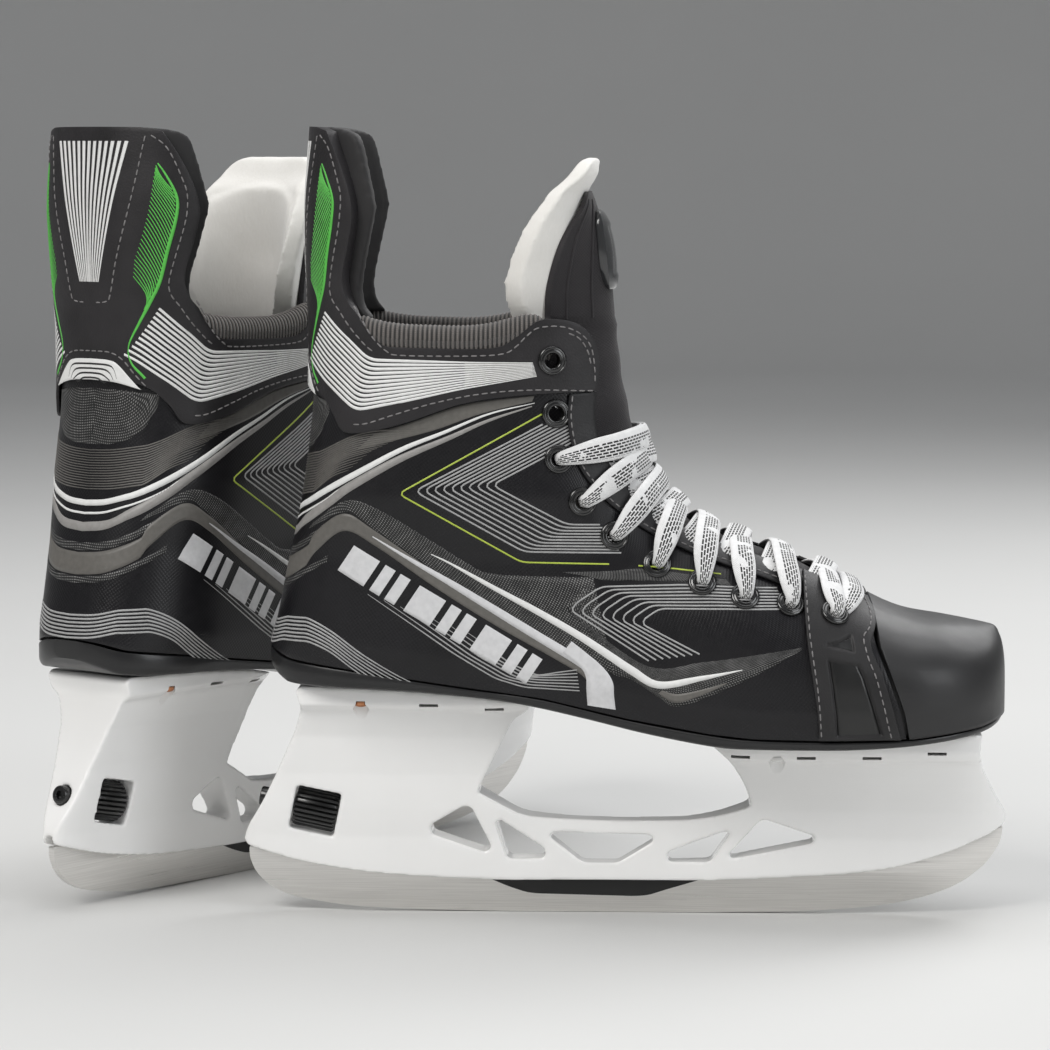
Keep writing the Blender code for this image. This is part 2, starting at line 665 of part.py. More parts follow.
def lace_path():
    """One lace: up both sides from a bar over the toe, crossing between pairs of eyelets."""
    def half_run(first_side, lift):
        route = []
        for i in range(LACED):
            side = first_side * (-1) ** i
            step = lace_direction(i) * 1.9
            rise = [over_boot(i, side, share, LACE_LIFT) + step * share for share in (0.33, 0.68)]
            foot = over_boot(i, side, 0, LACE_LIFT)
            if i:
                route += [rise[1] - step, rise[0] - step, foot - step]
            route.append(foot + step)
            if i < LACED - 1:
                a, b = over_boot(i, side, 1, lift), over_boot(i + 1, -side, 1, lift)
                route += [rise[0] + step, rise[1] + step, (a + b) / 2]
        return route

    first, second = half_run(-1, LACE_LIFT), half_run(1, LACE_LIFT + 3.2)
    bar_places = ((-1, 0.4), (-1, 0.8), (1, 0.8), (1, 0.4))
    bar = [over_boot(0, side, share, LACE_LIFT) for side, share in bar_places]
    return first[::-1] + bar + second


def ridge_point(index):
    """The point of the ridge across from an eyelet, and the way up from it."""
    x, z = EYELETS[index]
    reach = np.linalg.norm(CROWN_LINE - (x, z), axis=1)
    best = int(reach.argmin())
    tangent = CROWN_LINE[best + 1] - CROWN_LINE[best - 1]
    tangent /= np.linalg.norm(tangent)
    p, up = CROWN_LINE[best], np.array([-tangent[1], tangent[0]])
    up = up if up @ (p - (x, z)) > 0 else -up
    return (Vector((p[0], float(swing(p[0])), p[1])), Vector((up[0], 0, up[1])))


def lace_direction(index):
    """Direction along the row of eyelets, towards the ankle."""
    a, b = EYELETS[max(index - 1, 0)], EYELETS[index + 1]
    return Vector((b[0] - a[0], 0, b[1] - a[1])).normalized()


# ---------------------------------------------------------------- holder, runner and lock

def lock_axis():
    return Vector((math.cos(LOCK_TILT), 0, -math.sin(LOCK_TILT)))


def on_lock(distance):
    """A point of the lock's axis, in front of the wheel's middle by this distance."""
    return Vector(LOCK_CENTRE) + lock_axis() * distance


def holder_section(x):
    """The holder's cross-section before its side outline is cut: wider at the towers."""
    rear, front = 1 - ease((x + 56) / 44), ease((x - 14) / 34)
    ends = rounded((x + 148.6) / 26) * rounded((147.6 - x) / 24)
    loop = []
    for z in (8, 30, 41, 48, 55, 62, 70, 79, 82, 95):
        half = (BRIDGE_HALF + (read(HOLDER_REAR_WIDTHS, z) - BRIDGE_HALF) * rear
                + (read(HOLDER_FRONT_WIDTHS, z) - BRIDGE_HALF) * front)
        loop.append((max(half * ends, 2.6), z))
    return [(x, y, z) for y, z in loop] + [(x, -y, z) for y, z in loop[::-1]]


def build_holder(where, finish):
    xs = [-149, -147.3, -143.6, -136.7, -127.4, -111.2, -61.3, -50.4, -37.2, -27.6, -12.4, 13.6, 20.3,
          30.7, 38.3, 49.4, 117.6, 127.2, 136.6, 143.4, 146.6, 148.3]
    sections = [holder_section(x) for x in xs]
    holder = loft("blade_holder", sections, where, finish)
    holder = boolean(holder, plate("side", [HOLDER_BOTTOM + HOLDER_REST, *TRUSS_WINDOWS], 30, where),
                     "INTERSECT", where)
    slot = [(-152, 4), *[(x, z - 3) for x, z in RUNNER_EDGE[1:-1]], (152, 20)]
    holder = boolean(holder, plate("slot", [[*slot, *SLOT_TOP]], SLOT_HALF, where), "DIFFERENCE",
                     where)
    turn = Matrix.Rotation(LOCK_TILT, 4, "Y")
    x, _, z = LOCK_CENTRE
    half = WHEEL_LENGTH / 2 + 0.5
    pocket = box("pocket", (x - half, -30, z - 8.7), (x + half, 30, z + 8.7), where, turn=turn)
    holder = boolean(holder, pocket, "DIFFERENCE", where)
    tools = [cylinder("bore", on_lock(-30), on_lock(14), BORE_RADIUS, where),
             cylinder("plug_bore", on_lock(-40), on_lock(PLUG_START + 0.4), PLUG_RADIUS + GAP, where),
             box("nest", (-111.5, -4.4, 31), (-96, 4.4, 42.6), where)]
    for x, side in RIVETS.values():
        y, seat = side * RIVET_OUT, rivet_seat(x)
        tools.append(cylinder("recess", (x, y, seat - 14), (x, y, seat), 3.0, where, sides=12))
        tools.append(cylinder("hole", (x, y, seat - 1), (x, y, seat + 9), 1.9, where, sides=10))
    for tool in tools:
        holder = boolean(holder, tool, "DIFFERENCE", where)
    bm = bmesh.new()
    bm.from_mesh(holder.data)
    bmesh.ops.dissolve_limit(bm, angle_limit=math.radians(0.5), verts=bm.verts, edges=bm.edges)
    bm.to_mesh(holder.data)
    bm.free()
    return holder


def build_runner(where, finish):
    return plate("runner", [[*RUNNER_EDGE, *RUNNER_TOP]], RUNNER_HALF, where, finish)


def build_wheel(where, finish):
    """The ribbed wheel that tightens the runner's clamp."""
    ribs = 12
    loop = []
    for i in range(ribs * 3):
        radius = WHEEL_RADIUS - 1.1 if i % 3 else WHEEL_RADIUS
        angle = 2 * math.pi * i / (ribs * 3)
        loop.append((radius * math.cos(angle), radius * math.sin(angle)))
    frame = lock_axis().to_track_quat("X", "Z").to_matrix()
    ends = [[on_lock(d) + frame @ Vector((0, a, b)) for a, b in loop]
            for d in (-WHEEL_LENGTH / 2, WHEEL_LENGTH / 2)]
    wheel = loft("lock_wheel", ends, where, finish)
    return boolean(wheel, cylinder("bore", on_lock(-9), on_lock(9), BORE_RADIUS, where), "DIFFERENCE",
                   where)


def build_bolt(where, finish):
    bolt = cylinder("lock_bolt", on_lock(-15.5), on_lock(16), BOLT_RADIUS, where, finish, sides=12)
    socket = cylinder("socket", on_lock(-17), on_lock(-12.5), 1.4, where, sides=6)
    return boolean(bolt, socket, "DIFFERENCE", where)


def build_clamp(where, finish):
    """The block on the bolt's end that presses on the runner's rear tang."""
    clamp = box("clamp_block", (-107.2, -3.9, 31.6), (-97.0, 3.9, 41.8), where, finish)
    return boolean(clamp, cylinder("bore", on_lock(8), on_lock(16.4), BORE_RADIUS, where),
                   "DIFFERENCE", where)


def build_rear_plug(where, finish):
    """The cap over the tool hole in the back of the rear tower."""
    return cylinder("rear_plug", on_lock(PLUG_START - 5.0), on_lock(PLUG_START), PLUG_RADIUS, where,
                    finish)


def rivet_seat(x):
    """Height of the recess in the holder's flange that a rivet's head sits in."""
    return float(read(SOLE, x)) - 5.8


def build_rivet(name, x, side, where, finish):
    """A rivet through the holder's flange, up to the sole."""
    head, shank, length = 2.65, 1.6, 4.6
    profile = [(0, -2.0), (head - 0.9, -2.0), (head, -1.2), (head, 0), (shank, 0), (shank, length),
               (0, length)]
    place = Matrix.Translation(Vector((x, side * RIVET_OUT, rivet_seat(x) - GAP)) * MM)
    return turned(name, profile, place, 10, where, finish)


# ---------------------------------------------------------------- the pair

def finishes():
    return {
        "boot": material("boot_black", (0.022, 0.022, 0.026), 0.32),
        "trim": material("trim_charcoal", (0.045, 0.043, 0.045), 0.6),
        "liner": material("liner_grey", (0.16, 0.145, 0.135), 0.9),
        "felt": material("felt_white", (0.78, 0.77, 0.75), 0.95),
        "rubber": material("sole_black", (0.03, 0.03, 0.032), 0.5),
        "holder": material("holder_white", (0.82, 0.83, 0.84), 0.35),
        "steel": material("runner_steel", (0.55, 0.54, 0.51), 0.3, 1.0),
        "lock": material("lock_black", (0.015, 0.015, 0.017), 0.35),
        "copper": material("rivet_copper", (0.55, 0.27, 0.15), 0.35, 1.0),
        "lace": material("lace_white", (0.75, 0.75, 0.75), 0.85),
    }


def build_skate(parts, m):
    """Every piece of the right skate, in its own frame, by the joint empty it hangs from."""
    boot = [
        build_outsole(parts, m["rubber"]),
        build_shell(parts, m["boot"]),
        build_toe_cap(parts, m["boot"]),
        build_collar_panel(parts, m["trim"]),
        build_liner(parts, m["liner"]),
        build_footbed(parts, m["trim"]),
        build_tongue(parts, m["trim"]),
        tube("lace", lace_path(), LACE_RADIUS, parts, m["lace"], sides=0),
        build_holder(parts, m["holder"]),
        build_rear_plug(parts, m["lock"]),
    ]
    for label, side in (("outer", -1), ("inner", 1)):
        boot.append(build_eyestay("eyestay_" + label, side, parts, m["trim"]))
        boot.append(build_toe_strap("toe_strap_" + label, side, parts, m["trim"]))
        boot.append(build_top_eyelet("top_eyelet_" + label, side, parts, m["lock"]))
    for name, (x, side) in RIVETS.items():
        boot.append(build_rivet(name, x, side, parts, m["copper"]))
    return {
        "boot": boot,
        "guard_hinge": [build_guard("tendon_guard", GUARD_WALL, 0.0, 7, parts, m["trim"]),
                        build_guard("tendon_guard_pad", GUARD_PAD_WALL, 3.0, 5, parts, m["liner"])],
        "tongue_hinge": [build_tongue_cap(parts, m["trim"]), build_tongue_felt(parts, m["felt"]),
                         build_tongue_badge(parts, m["lock"])],
        "runner_slide": [build_runner(parts, m["steel"])],
        "lock_wheel_axis": [build_wheel(parts, m["lock"])],
        "lock_bolt_slide": [build_bolt(parts, m["steel"]), build_clamp(parts, m["steel"])],
    }


JOINT_PLACES = {
    "boot": (0, 0, 0),
    "guard_hinge": GUARD_HINGE,
    "tongue_hinge": TONGUE_HINGE,
    "runner_slide": (0, 0, 0),
    "lock_wheel_axis": LOCK_CENTRE,
    "lock_bolt_slide": LOCK_CENTRE,
}


def empty(name, matrix, parts):
    made = bpy.data.objects.new(name, None)
    parts.objects.link(made)
    made.matrix_world = matrix
    return made


def set_skate(label, groups, place, parts):
    """One skate of the pair: its pieces on empties that stand on their joints' axes."""
    for joint, pieces in groups.items():
        anchor = Matrix.Translation(Vector(JOINT_PLACES[joint]) * MM)
        holder = empty(f"{label}_{joint}", place @ anchor, parts)
        for name, mesh in pieces:
            obj = bpy.data.objects.new(f"{label}_{name}", mesh)
            parts.objects.link(obj)
            obj.parent = holder
            obj.matrix_parent_inverse = anchor.inverted()


def main():
    clear_scene()
    parts = collection("hockey_skates")
    groups = {}
    for joint, pieces in build_skate(parts, finishes()).items():
        solids = [as_mesh(piece, parts) for piece in pieces]
        groups[joint] = [(solid.name, solid.data) for solid in solids]
        for solid in solids:
            solid.data.shade_smooth()
            solid.data.set_sharp_from_angle(angle=math.radians(35))
            bpy.data.objects.remove(solid)
    right = Matrix.Translation(Vector(RIGHT_PLACE) * MM)
    left = (right @ Matrix.Translation(Vector(LEFT_OFFSET) * MM) @ Matrix.Rotation(LEFT_TURN, 4, "Z")
            @ Matrix.Scale(-1, 4, (0, 1, 0)))
    set_skate("right", groups, right, parts)
    set_skate("left", groups, left, parts)


main()
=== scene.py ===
"""A pair of ice hockey skates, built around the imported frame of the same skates.

Every piece is modelled once in the right skate's own frame, in millimetres: +X from heel to toe, +Y
towards the other foot, +Z up, the ice at Z = 0. The left skate is its mirror image.
"""

import json
import math

import bmesh
import bpy
import numpy as np
from mathutils import Matrix, Vector


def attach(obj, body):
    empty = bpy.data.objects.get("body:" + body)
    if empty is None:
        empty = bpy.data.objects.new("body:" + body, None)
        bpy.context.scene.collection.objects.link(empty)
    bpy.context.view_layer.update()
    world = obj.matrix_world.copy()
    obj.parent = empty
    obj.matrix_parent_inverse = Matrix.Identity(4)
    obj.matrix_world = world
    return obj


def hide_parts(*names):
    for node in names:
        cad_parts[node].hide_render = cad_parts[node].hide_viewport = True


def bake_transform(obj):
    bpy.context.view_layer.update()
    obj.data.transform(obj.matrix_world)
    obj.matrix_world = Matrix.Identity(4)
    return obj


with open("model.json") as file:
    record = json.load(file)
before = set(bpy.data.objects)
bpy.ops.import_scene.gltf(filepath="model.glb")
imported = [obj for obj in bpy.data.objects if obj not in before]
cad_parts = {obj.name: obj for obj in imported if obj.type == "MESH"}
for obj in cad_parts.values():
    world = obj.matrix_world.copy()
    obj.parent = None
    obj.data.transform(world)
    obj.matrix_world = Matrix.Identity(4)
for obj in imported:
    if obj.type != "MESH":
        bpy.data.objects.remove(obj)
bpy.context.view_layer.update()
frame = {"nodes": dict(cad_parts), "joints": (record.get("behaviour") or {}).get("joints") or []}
MM = 0.001
SIDES = (-1, 1)

# ---------------------------------------------------------------- the boot's surface, as in the frame

BACK = [(-137, 94), (-137, 105), (-134, 117), (-130, 136), (-125, 159), (-122, 179), (-120, 198),
        (-119.5, 225), (-120.5, 256), (-120.5, 275), (-119.5, 290), (-118.5, 304)]
CROWN = [(-1, 330), (-1, 260), (0, 232), (1, 210), (4, 188), (10, 170), (22, 156), (36, 148.5),
         (52, 143), (67, 137.5), (82, 130), (94, 122.5), (107, 117), (122, 114.5), (136, 112.2),
         (160, 108)]
CROWN_ROUNDING = [60, 60, 60, 60, 58, 52, 47, 45, 45, 45, 40, 32, 26, 24, 24, 24]
TOE_FRONT = [(138.5, 120), (141, 112), (143.2, 107), (144.3, 100), (144.5, 90), (144.5, 70)]
WELT = [(-137, 105), (-128, 101), (-105, 98), (-79, 94), (-55, 90.5), (-31, 87.5), (1, 80.5),
        (32, 75.5), (48, 74), (73, 73.5), (107, 74), (134, 77), (146, 80)]
SOLE = [(-137, 98), (-131, 93.4), (-124, 91.6), (-86, 90), (-54, 87.4), (-35, 84.6), (-13, 80),
        (8, 75.2), (34, 70.8), (50, 70.2), (85, 70.2), (108, 71.6), (135, 75), (146, 79)]
THROAT = [(-14, 223), (-12, 212), (-12, 193), (-9, 181), (-4, 173), (6, 162), (16, 155), (29, 147.5),
          (52, 140), (67, 134.8), (80, 129), (92, 122.5)]
TOE_SEAM = [(106, 74), (104, 85), (100, 96), (95, 109), (92, 122.5)]
BACK_ROUNDING = 45.0
TOE_ROUNDING = 42.0
ROUNDNESS = 2.5
LOW_WIDTHS = [(-137, 35), (-90, 36), (-50, 35), (0, 41), (50, 49), (80, 50.5), (110, 48.5), (145, 44)]
HIGH_WIDTHS = [(100, 36), (140, 36.5), (165, 40), (200, 38.5), (225, 39), (270, 43), (304, 42)]
TOE_SWING, SWING_FROM, SWING_OVER = 3.5, 20, 110
# The ankle's widths take over from the foot's above one height, and behind one place.
ANKLE_FROM, ANKLE_OVER = 98, 55
ANKLE_FRONT, ANKLE_FADE = 45, 65
# The foot narrows by this share just over its welt.
UNDERCUT, UNDERCUT_HEIGHT = 0.05, 12
BACK_POINTS = 24
EYELETS = [(78, 120), (62, 125), (45, 128), (29, 133), (12, 139.5), (-4, 150), (-16, 163),
           (-25, 179), (-26, 196), (-28, 216)]
LACED = 8


def smooth(points, steps=6):
    """A Catmull-Rom curve through the points, as an array."""
    p = np.array(points, float)
    p = np.vstack([2 * p[0] - p[1], p, 2 * p[-1] - p[-2]])
    out = []
    for a, b, c, d in zip(p, p[1:], p[2:], p[3:]):
        for t in np.linspace(0, 1, steps, endpoint=False):
            out.append(0.5 * (2 * b + (c - a) * t + (2 * a - 5 * b + 4 * c - d) * t ** 2
                              + (3 * b - a - 3 * c + d) * t ** 3))
    return np.array(out + [p[-2]])


def lengths(line):
    """Distance along a line at each of its points."""
    return np.concatenate([[0], np.cumsum(np.linalg.norm(np.diff(line, axis=0), axis=1))])


def along(line, share):
    """Points at these shares of a line's length."""
    line = np.array(line, float)
    run = lengths(line)
    at = np.asarray(share) * run[-1]
    return np.stack([np.interp(at, run, line[:, k]) for k in range(line.shape[1])], -1)


def unit(vectors):
    """Vectors scaled to length 1, along the last axis."""
    return vectors / np.maximum(np.linalg.norm(vectors, axis=-1, keepdims=True), 1e-9)


def read(table, x):
    xs, ys = zip(*table)
    return np.interp(x, xs, ys)


def ease(t):
    t = np.clip(t, 0, 1)
    return t * t * (3 - 2 * t)


BACK_LINE = smooth(BACK)
CROWN_LINE = smooth(CROWN)
CROWN_RADII = smooth([(r, 0) for r in CROWN_ROUNDING])[:, 0]
BACK_RADII = np.full(len(BACK_LINE), BACK_ROUNDING)
TOE_LINE = smooth(TOE_FRONT)
TOE_RADII = np.full(len(TOE_LINE), TOE_ROUNDING)


def back_x(z):
    return np.interp(z, BACK_LINE[:, 1], BACK_LINE[:, 0])


def crown_x(z):
    return np.interp(z, CROWN_LINE[::-1, 1], CROWN_LINE[::-1, 0])


def toe_x(z):
    return np.interp(z, TOE_LINE[::-1, 1], TOE_LINE[::-1, 0])


def nearest_share(x, z, line, rounding, inside):
    """Signed distance from (x, z) to a line, as a share of the rounding there."""
    p = np.stack([x, z], -1)[..., None, :]
    a, b = line[:-1], line[1:]
    t = np.clip(((p - a) * (b - a)).sum(-1) / ((b - a) ** 2).sum(-1), 0, 1)
    away = np.linalg.norm(p - (a + (b - a) * t[..., None]), axis=-1)
    r = rounding[:-1] + (rounding[1:] - rounding[:-1]) * t
    return (away / r).min(-1) * np.where(inside, 1, -1)


def rounded(t):
    """A superellipse's height at share t of its rounding."""
    return (1 - (1 - np.clip(t, 0, 1)) ** ROUNDNESS) ** (1 / ROUNDNESS)


def fullness(x, z):
    """The boot's half width, to the power of its roundness, so that it grows evenly from an edge."""
    x, z = np.broadcast_arrays(np.asarray(x, float), np.asarray(z, float))
    high = ease((z - ANKLE_FROM) / ANKLE_OVER) * ease((ANKLE_FRONT - x) / ANKLE_FADE)
    widest = read(LOW_WIDTHS, x) * (1 - high) + read(HIGH_WIDTHS, z) * high
    under = 1 - UNDERCUT * ease((read(WELT, x) + UNDERCUT_HEIGHT - z) / UNDERCUT_HEIGHT)
    edges = [1 - (1 - np.minimum(nearest_share(x, z, line, radii, inside), 1)) ** ROUNDNESS
             for line, radii, inside in ((BACK_LINE, BACK_RADII, x > back_x(z)),
                                         (CROWN_LINE, CROWN_RADII, x < crown_x(z)),
                                         (TOE_LINE, TOE_RADII, x < toe_x(z)))]
    outside = np.minimum.reduce(edges) < 0
    full = (widest * under) ** ROUNDNESS * np.abs(edges[0] * edges[1] * edges[2])
    return np.where(outside, -full, full)


def half_width(x, z):
    """Half of the boot's width at a point of its side view, and 0 outside its outline."""
    return np.maximum(fullness(x, z), 0) ** (1 / ROUNDNESS)


def swing(x):
    """How far the foot's centre line bends inward towards the big toe."""
    return TOE_SWING * ease((np.asarray(x, float) - SWING_FROM) / SWING_OVER)


SLOPE_STEP = 0.1
RIDGE_REACH = 0.0002


def skin(x, z, side, lift=0.0, ridge=None):
    """Points of the boot's surface lifted off it, and the surface's outward directions."""
    x, z = np.broadcast_arrays(np.asarray(x, float), np.asarray(z, float))
    h = SLOPE_STEP
    g = fullness(np.stack([x, x + h, x - h, x, x]), np.stack([z, z, z, z + h, z - h]))
    w = np.maximum(g[0], 0) ** (1 / ROUNDNESS)
    if ridge is None:
        ridge = (x - back_x(z)) < RIDGE_REACH
    w = np.where(ridge, 0, w)
    steep = ROUNDNESS * w ** (ROUNDNESS - 1)
    sx = (swing(x + h) - swing(x - h)) / (2 * h)
    slope_x, slope_z = (g[2] - g[1]) / (2 * h), (g[4] - g[3]) / (2 * h)
    n = unit(np.stack([slope_x - side * sx * steep, side * steep, slope_z], -1))
    p = np.stack([x, side * w + swing(x), z], -1)
    return p + n * np.asarray(lift)[..., None], n


def patch(bottom, top, left, right, across, up):
    """A Coons patch in the side view: arrays x, z of shape (len(up), len(across))."""
    q, k = np.asarray(across)[None, :, None], np.asarray(up)[:, None, None]
    b, t = along(bottom, across)[None], along(top, across)[None]
    l, r = along(left, up)[:, None], along(right, up)[:, None]
    corners = ((1 - q) * (1 - k) * b[:, :1] + q * (1 - k) * b[:, -1:] + (1 - q) * k * t[:, :1]
               + q * k * t[:, -1:])
    net = (1 - k) * b + k * t + (1 - q) * l + q * r - corners
    return net[..., 0], net[..., 1]


def line_between(line, x0, x1):
    """The stretch of a line from x0 to x1, which may be beyond its own points."""
    line = np.array(line, float)
    inside = line[(line[:, 0] > min(x0, x1)) & (line[:, 0] < max(x0, x1))]
    ends = [(x, float(np.interp(x, line[:, 0], line[:, 1]))) for x in (x0, x1)]
    return [ends[0], *map(tuple, inside if x0 < x1 else inside[::-1]), ends[1]]


def back_between(z0, z1):
    """The stretch of the back profile from height z0 to z1."""
    return [(float(back_x(z)), float(z)) for z in np.linspace(z0, z1, BACK_POINTS)]


def turn_shares(rounding, length, count, rest):
    """Shares along a panel that starts on a rounded edge: close together round the edge."""
    turn = np.linspace(0, math.pi / 2, count + 1)
    wrap = rounding * (1 - np.cos(turn) ** (2 / ROUNDNESS)) / length
    return np.concatenate([wrap, np.linspace(wrap[-1], 1, rest + 1)[1:]])


def ridge_point(index):
    """The point of the ridge across from an eyelet, and the way up from it."""
    x, z = EYELETS[index]
    best = int(np.linalg.norm(CROWN_LINE - (x, z), axis=1).argmin())
    tangent = unit(CROWN_LINE[best + 1] - CROWN_LINE[best - 1])
    p, up = CROWN_LINE[best], np.array([-tangent[1], tangent[0]])
    up = up if up @ (p - (x, z)) > 0 else -up
    return np.array([p[0], float(swing(p[0])), p[1]]), np.array([up[0], 0, up[1]])


# ---------------------------------------------------------------- where each skate stands

def joint(name):
    return next(j for j in frame["joints"] if j["name"] == name)


TONGUE_HINGE = (0.5, 0.0, 231.0)


def place_of(label):
    """Matrix from a skate's own frame, in millimetres, to the row frame, from its two hinges."""
    guard = Vector(joint(label + "_guard_flex")["pos_m"])
    tongue = Vector(joint(label + "_tongue_fold")["pos_m"])
    ahead = Vector((tongue.x - guard.x, tongue.y - guard.y, 0)).normalized()
    up = Vector((0, 0, 1))
    inward = up.cross(ahead) * (1 if label == "right" else -1)
    origin = tongue - ahead * TONGUE_HINGE[0] * MM - up * TONGUE_HINGE[2] * MM
    turn = Matrix((ahead, inward, up)).transposed() * MM
    return Matrix.Translation(origin) @ turn.to_4x4()


PLACES = {label: place_of(label) for label in ("right", "left")}


# ---------------------------------------------------------------- meshes

class Mesh:
    """Vertices in millimetres, their cloth coordinates, and faces, gathered bit by bit."""

    def __init__(self):
        self.points, self.faces, self.uvs = [], [], []

    def add(self, points, faces, uvs=None):
        start = len(self.points)
        self.points += [tuple(map(float, p)) for p in points]
        self.faces += [tuple(start + i for i in f) for f in faces]
        uvs = np.zeros((len(points), 2)) if uvs is None else uvs
        self.uvs += [tuple(map(float, uv)) for uv in uvs]

    def grid(self, points, uvs=None, flip=False, closed=False):
        """A grid of quads through an array of points (rows, columns, 3)."""
        rows, columns = points.shape[:2]
        faces = []
        for i in range(rows - 1):
            for j in range(columns if closed else columns - 1):
                k = (j + 1) % columns
                quad = (i * columns + j, i * columns + k, (i + 1) * columns + k, (i + 1) * columns + j)
                faces.append(quad[::-1] if flip else quad)
        uvs = None if uvs is None else np.asarray(uvs).reshape(-1, 2)
        self.add(points.reshape(-1, 3), faces, uvs)

    def tube(self, sections, uvs=None, caps=True):
        """A closed body through sections (rows, points round, 3)."""
        sections = np.asarray(sections, float)
        start = len(self.points)
        self.grid(sections, uvs, closed=True)
        if caps:
            count = sections.shape[1]
            self.faces.append(tuple(start + i for i in range(count))[::-1])
            last = start + (len(sections) - 1) * count
            self.faces.append(tuple(last + i for i in range(count)))

    def build(self, name, merge=0.004, outward=True):
        """A Blender mesh in millimetres."""
        mesh = bpy.data.meshes.new(name)
        mesh.from_pydata(self.points, [], self.faces)
        layer = mesh.uv_layers.new(name="cloth")
        loops = np.zeros(len(mesh.loops), np.int32)
        mesh.loops.foreach_get("vertex_index", loops)
        layer.data.foreach_set("uv", np.array(self.uvs, np.float32)[loops].ravel())
        bm = bmesh.new()
        bm.from_mesh(mesh)
        if merge:
            bmesh.ops.remove_doubles(bm, verts=bm.verts, dist=merge)
            bmesh.ops.dissolve_degenerate(bm, edges=bm.edges, dist=merge / 2)
        if outward:
            bmesh.ops.recalc_face_normals(bm, faces=bm.faces)
        bm.to_mesh(mesh)
        bm.free()
        mesh.shade_smooth()
        return mesh


def cloth_map(points):
    """Cloth coordinates in millimetres over a grid: along its rows and up its columns."""
    u = np.zeros(points.shape[:2])
    v = np.zeros(points.shape[:2])
    u[:, 1:] = np.cumsum(np.linalg.norm(np.diff(points, axis=1), axis=2), axis=1)
    v[1:] = np.cumsum(np.linalg.norm(np.diff(points, axis=0), axis=2), axis=0)
    return np.stack([u, v], -1)


def slab(mesh, net, outer, inner, ridges=()):
    """A wall over part of the boot, between two distances from its surface, closed at its rims.

    At its ridges (back, top, toe) the wall goes on round to the other side without a rim.
    """
    x, z = net
    ridge = np.zeros(x.shape, bool)
    for name in ridges:
        ridge[{"back": np.s_[:, 0], "toe": np.s_[:, -1], "top": np.s_[-1, :]}[name]] = True
    for side in SIDES:
        out = skin(x, z, side, np.broadcast_to(outer, x.shape), ridge)[0]
        deep = skin(x, z, side, np.broadcast_to(inner, x.shape), ridge)[0]
        uv = cloth_map(out) * (side, 1)
        mesh.grid(out, uv, flip=side > 0)
        mesh.grid(deep, uv, flip=side < 0)
        edges = {"bottom": np.s_[0, :], "top": np.s_[-1, :], "back": np.s_[:, 0], "toe": np.s_[:, -1]}
        for name, edge in edges.items():
            if name not in ridges:
                mesh.grid(np.stack([out[edge], deep[edge]]), np.stack([uv[edge], uv[edge]]))


def as_object(name, mesh):
    obj = bpy.data.objects.new(name, mesh)
    bpy.context.scene.collection.objects.link(obj)
    return obj


def applied(obj):
    """The mesh that an object's modifiers leave, the object being removed."""
    bpy.context.view_layer.update()
    graph = bpy.context.evaluated_depsgraph_get()
    mesh = bpy.data.meshes.new_from_object(obj.evaluated_get(graph))
    mesh.transform(obj.matrix_world)
    bpy.data.objects.remove(obj)
    return mesh


def modified(mesh, *steps):
    """A mesh after modifiers, each given as (type, settings)."""
    obj = as_object("working", mesh)
    for kind, settings in steps:
        step = obj.modifiers.new(kind.lower(), kind)
        for key, value in settings.items():
            setattr(step, key, value)
    return applied(obj)


def bevel(width, angle=50):
    return ("BEVEL", {"width": width, "segments": 2, "limit_method": "ANGLE",
                      "angle_limit": math.radians(angle), "harden_normals": False})


def sharpened(mesh, angle=40):
    mesh.set_sharp_from_angle(angle=math.radians(angle))
    return mesh


def piece(name, mesh, finish, body, slot=None, replaces=(), between=None, padded=None):
    """Puts a mesh on both skates, as a piece that rides on a body, or, when between is given, one baked
    in place on no body.

    between is (other body, start, end) in the skate's own frame; only whether it is given is read.
    """
    for label, place in PLACES.items():
        made = mesh.copy()
        made.transform(place)
        if place.determinant() < 0:
            made.flip_normals()
        made.materials.clear()
        made.materials.append(finish)
        obj = as_object(f"{label}_{name}", made)
        if between:
            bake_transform(obj)
        else:
            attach(obj, f"{label}_{body}")
        if replaces:
            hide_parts(*[f"{label}_{node}" for node in replaces])



# ---------------------------------------------------------------- the boot's walls

# Distances of each wall's outer and inner faces from the boot's surface.
SHELL_LIFT, SHELL_UNDER = 0.0, -2.4
OVERLAY_LIFT, OVERLAY_UNDER = 2.3, 1.0
CAP_LIFT, CAP_UNDER = 1.2, -1.5
SLEEVE_LIFT, SLEEVE_UNDER = -2.7, -3.5
EYESTAY_LIFT, EYESTAY_UNDER = 1.5, 0.3
LINING_LIFT, PAD_LIFT, LINING_UNDER = -3.0, -2.75, -7.4
GUARD_UNDER = -2.6
SUNK_DEPTH = 1.1
WELT_GAP = 0.6
# How far printed areas stand proud: most of them, the woven ones, and the ones that cross others.
PRINT = 0.14
WEAVE_PRINT = 0.09
TOP_PRINT = 0.17
NECK = (-99.5, 233.5)


def punched(mesh, indices, angle=40):
    """A wall with holes through it for these eyelets."""
    return sharpened(boolean(mesh, [hole for i in indices for hole in eyelet_holes(i)]), angle)


